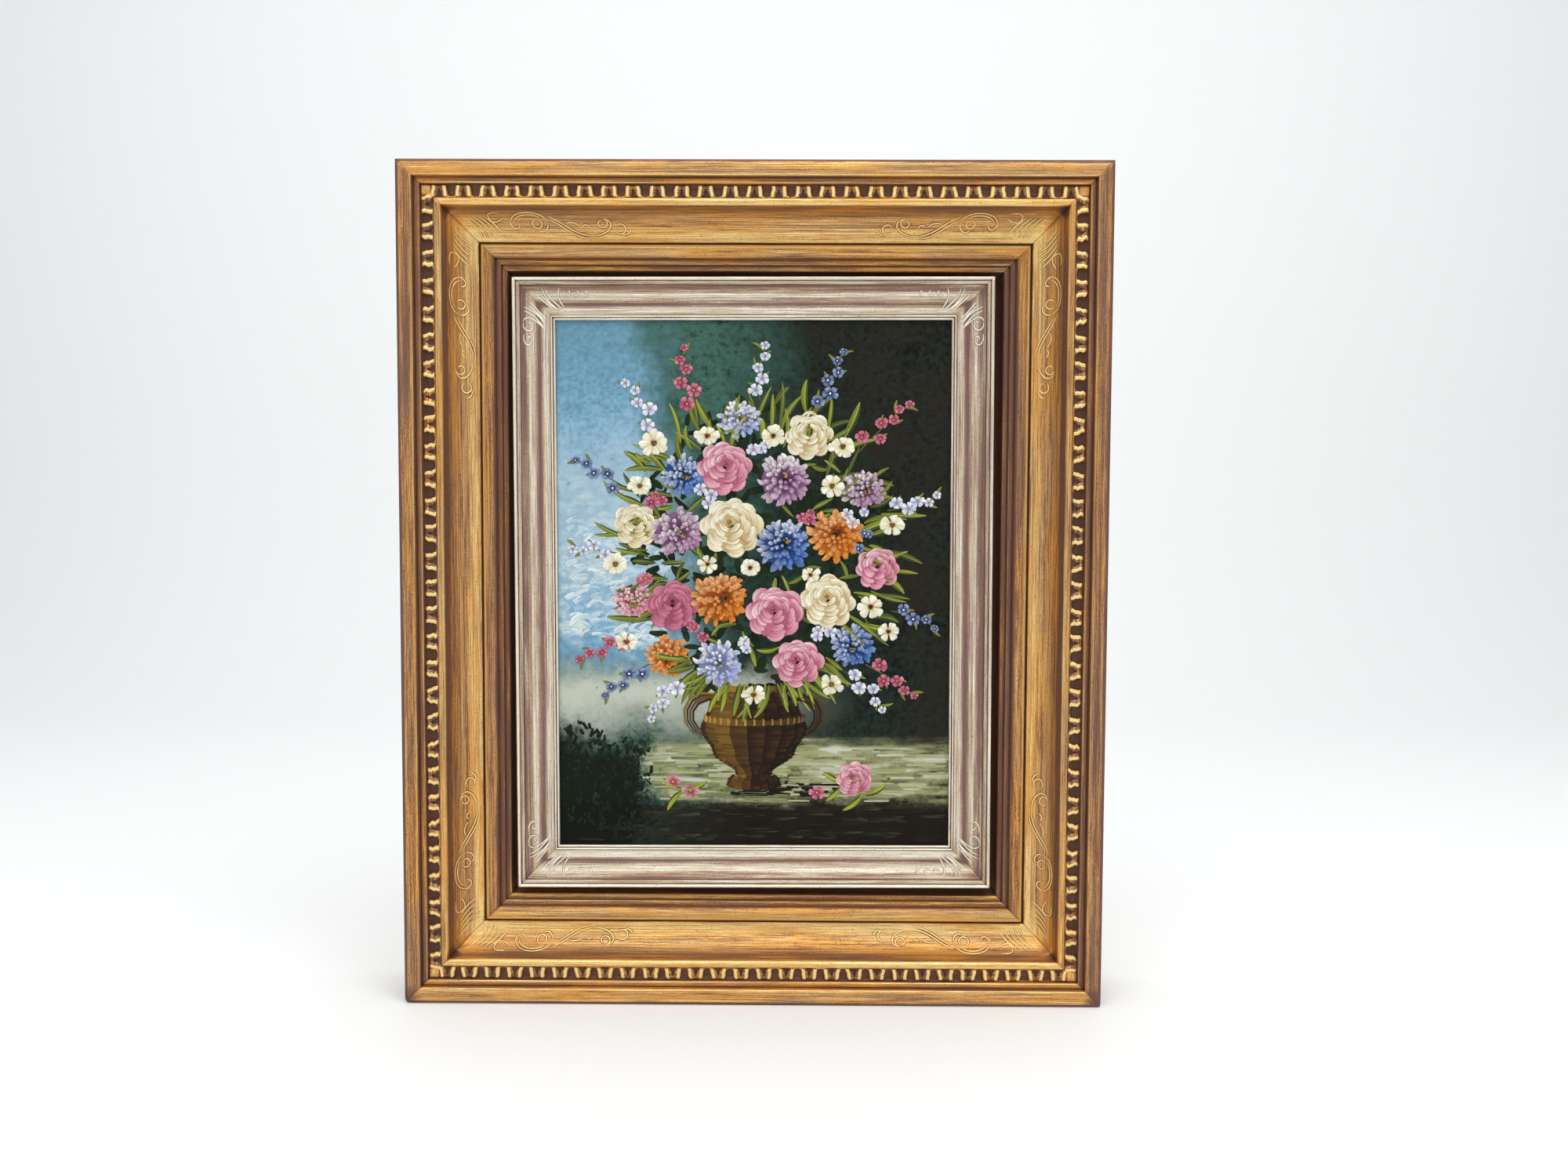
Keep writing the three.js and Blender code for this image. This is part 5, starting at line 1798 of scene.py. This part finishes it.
class StageSettings(bpy.types.PropertyGroup):
    """Where the camera stands, and the colour of the floor and backdrop."""

    camera: bpy.props.FloatVectorProperty(
        name="Camera", description="Place of the camera", default=(0.0209, -0.7010, -0.1729),
        subtype="TRANSLATION"
    )
    pitch: bpy.props.FloatProperty(
        name="Pitch", description="Camera's tilt up", default=math.radians(-2.95), unit="ROTATION"
    )
    yaw: bpy.props.FloatProperty(
        name="Yaw", description="Camera's turn to the left", default=math.radians(0.37), unit="ROTATION"
    )
    roll: bpy.props.FloatProperty(
        name="Roll", description="Camera's lean to the right", default=math.radians(-0.23), unit="ROTATION"
    )
    lens: bpy.props.FloatProperty(name="Lens", description="Focal length in millimetres", default=27.72)
    paper: colour("Paper", "The floor and backdrop", (250, 251, 250))


def stage(settings):
    pale_sweep(settings)
    data = bpy.data.cameras.new("camera")
    data.lens = settings.lens
    data.sensor_width = 36.0
    camera = bpy.data.objects.new("camera", data)
    turn = (
        Matrix.Rotation(settings.yaw, 4, "Z")
        @ Matrix.Rotation(settings.pitch, 4, "X")
        @ Matrix.Rotation(settings.roll, 4, "Y")
    )
    level = Matrix.Rotation(math.pi / 2, 4, "X")
    camera.matrix_world = Matrix.Translation(settings.camera) @ turn @ level
    bpy.context.collection.objects.link(camera)
    bpy.context.scene.camera = camera
    middle = FRAME_MIDDLE
    area_light("overhead", (0.15, -0.75, 1.05), middle, (1.5, 0.9), 11)
    area_light("front_left", (-1.3, -1.5, 0.25), middle, (1.0, 1.4), 5, (0.96, 0.98, 1.0))
    area_light("front_right", (1.4, -1.4, 0.1), middle, (1.0, 1.4), 4.5, (1.0, 0.985, 0.96))
    area_light("ceiling", (0, -0.5, 1.7), (0, -0.5, 0), (2.4, 1.6), 9)
    area_light("backdrop", (0, 0.1, 1.5), (0, 1.2, -0.1), (3.0, 0.6), 11)
    world = bpy.data.worlds.new("soft_room")
    world.use_nodes = True
    world.node_tree.nodes["Background"].inputs[0].default_value = (0.93, 0.96, 1.0, 1)
    world.node_tree.nodes["Background"].inputs[1].default_value = 0.4
    bpy.context.scene.world = world
    bpy.context.scene.view_settings.view_transform = "Standard"


# ---------------------------------------------------------------------- operators and panel

def finishes():
    """The leaf and wood finishes, made once."""
    colours = bpy.context.scene.gilt_colours
    if "gilt_leaf" not in bpy.data.materials:
        worn = (colours.dull, colours.ash, colours.grime)
        gold = (colours.gold_light, colours.gold, colours.gold_deep, colours.bole, *worn)
        silver = (colours.silver_light, colours.silver, colours.silver_deep, colours.mauve, *worn)
        leafed_wood("gilt_leaf", [tuple(tint) for tint in gold], 0.75)
        leafed_wood("silver_leaf", [tuple(tint) for tint in silver], 0.6)
        bare_wood("bare_wood", tuple(colours.wood))
    return [bpy.data.materials[name] for name in ("gilt_leaf", "silver_leaf", "bare_wood")]


def dress(node, material):
    """Gives a part of the frame model a better finish."""
    mesh_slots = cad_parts[node].material_slots
    if not mesh_slots:
        raise ValueError(f"{node} has no material slot")
    for one in mesh_slots:
        one.material = material


def paints():
    """The oil colours by name."""
    colours = bpy.context.scene.paint_colours
    return {name: tuple(getattr(colours, name)) for name in PaintColours.__annotations__}


class PICTURE_OT_outer_frame(bpy.types.Operator):
    """Make the four gilt rails with their leaf band and tooled scrolls"""

    bl_idname = "picture.outer_frame"
    bl_label = "Gilt Frame"

    def execute(self, context):
        gilt, _, wood = finishes()
        for side in SIDES:
            outer_rail(side, gilt, wood)
        return {"FINISHED"}


class PICTURE_OT_insert(bpy.types.Operator):
    """Make the four silvered rails round the picture"""

    bl_idname = "picture.insert"
    bl_label = "Silvered Insert"

    def execute(self, context):
        _, silver, wood = finishes()
        for side in SIDES:
            insert_rail(side, silver, wood)
        return {"FINISHED"}


class PICTURE_OT_canvas(bpy.types.Operator):
    """Make the stretched canvas with the broad areas of the picture"""

    bl_idname = "picture.canvas"
    bl_label = "Canvas"

    def execute(self, context):
        sizes, c = context.scene.picture_sizes, paints()
        areas = [c[name] for name in ("sky", "cloud", "teal", "night", "ledge", "shrub")]
        paint = underpainting("underpainting", areas, sizes.weave)
        raw = raw_linen("raw_linen", tuple(context.scene.back_colours.linen), sizes.weave)
        canvas = stretched_canvas(paint, raw)
        return {"FINISHED"}


class PICTURE_OT_stretcher(bpy.types.Operator):
    """Make the four mitred bars that hold the canvas out"""

    bl_idname = "picture.stretcher"
    bl_label = "Stretcher"

    def execute(self, context):
        pine = bare_wood("planed_pine", tuple(context.scene.back_colours.pine))
        for side in SIDES:
            stretcher_bar(side, pine)
        return {"FINISHED"}


class PICTURE_OT_fixings(bpy.types.Operator):
    """Finish the turn plates, screws, hanger and nails on the back"""

    bl_idname = "picture.fixings"
    bl_label = "Fixings"

    def execute(self, context):
        tints = context.scene.back_colours
        steel = metal("zinc_plate", tuple(tints.zinc), tuple(tints.zinc_dull), 0.32)
        brass = metal("brass_plate", tuple(tints.brass), tuple(tints.brass_dull), 0.28)
        for number in range(1, 5):
            dress(f"turn_plate_{number}", steel)
            screw = headed_pin(f"screw_{number}", f"plate_screw_{number}", steel, 0.9 * MM, True)
        dress("hanger", brass)
        for side in ("left", "right"):
            nail = headed_pin(f"nail_{side}", f"hanger_nail_{side}", brass, 0.8 * MM, False)
        return {"FINISHED"}


class PICTURE_OT_brushwork(bpy.types.Operator):
    """Paint the urn and flowers in raised strokes"""

    bl_idname = "picture.brushwork"
    bl_label = "Brushwork"

    def execute(self, context):
        paint, c = impasto("impasto"), paints()
        layers = {
            "paint_background": paint_background,
            "paint_urn": paint_urn,
            "paint_foliage": paint_foliage,
            "paint_blooms": paint_blooms,
            "paint_small_flowers": paint_small_flowers,
        }
        for name, work in layers.items():
            brush = Brush(name)
            work(brush, c)
            brush.lay(name, paint)
        return {"FINISHED"}


class PICTURE_OT_stage(bpy.types.Operator):
    """Set up the pale floor, the lights and the camera"""

    bl_idname = "picture.stage"
    bl_label = "Stage"

    def execute(self, context):
        stage(context.scene.stage_settings)
        return {"FINISHED"}


OPERATORS = (
    PICTURE_OT_stage,
    PICTURE_OT_outer_frame,
    PICTURE_OT_insert,
    PICTURE_OT_stretcher,
    PICTURE_OT_canvas,
    PICTURE_OT_brushwork,
    PICTURE_OT_fixings,
)

SETTINGS = {
    "leaf_band_sizes": LeafBandSizes,
    "picture_sizes": PictureSizes,
    "gilt_colours": GiltColours,
    "paint_colours": PaintColours,
    "back_colours": BackColours,
    "stage_settings": StageSettings,
}


class PICTURE_PT_panel(bpy.types.Panel):
    """Lists the steps that make the picture"""

    bl_idname = "PICTURE_PT_panel"
    bl_label = "Framed Picture"
    bl_space_type = "VIEW_3D"
    bl_region_type = "UI"
    bl_category = "Picture"

    def draw(self, context):
        for operator in OPERATORS:
            self.layout.operator(operator.bl_idname)
        for name in SETTINGS:
            box = self.layout.box()
            settings = getattr(context.scene, name)
            for key in settings.__annotations__:
                box.prop(settings, key)


def register():
    for made in (*SETTINGS.values(), *OPERATORS, PICTURE_PT_panel):
        bpy.utils.register_class(made)
    for name, group in SETTINGS.items():
        setattr(bpy.types.Scene, name, bpy.props.PointerProperty(type=group))


def unregister():
    for name in SETTINGS:
        delattr(bpy.types.Scene, name)
    for made in (PICTURE_PT_panel, *reversed(OPERATORS), *SETTINGS.values()):
        bpy.utils.unregister_class(made)


def main():
    register()
    for operator in OPERATORS:
        group, name = operator.bl_idname.split(".")
        getattr(getattr(bpy.ops, group), name)()


if __name__ == "__main__":
    main()
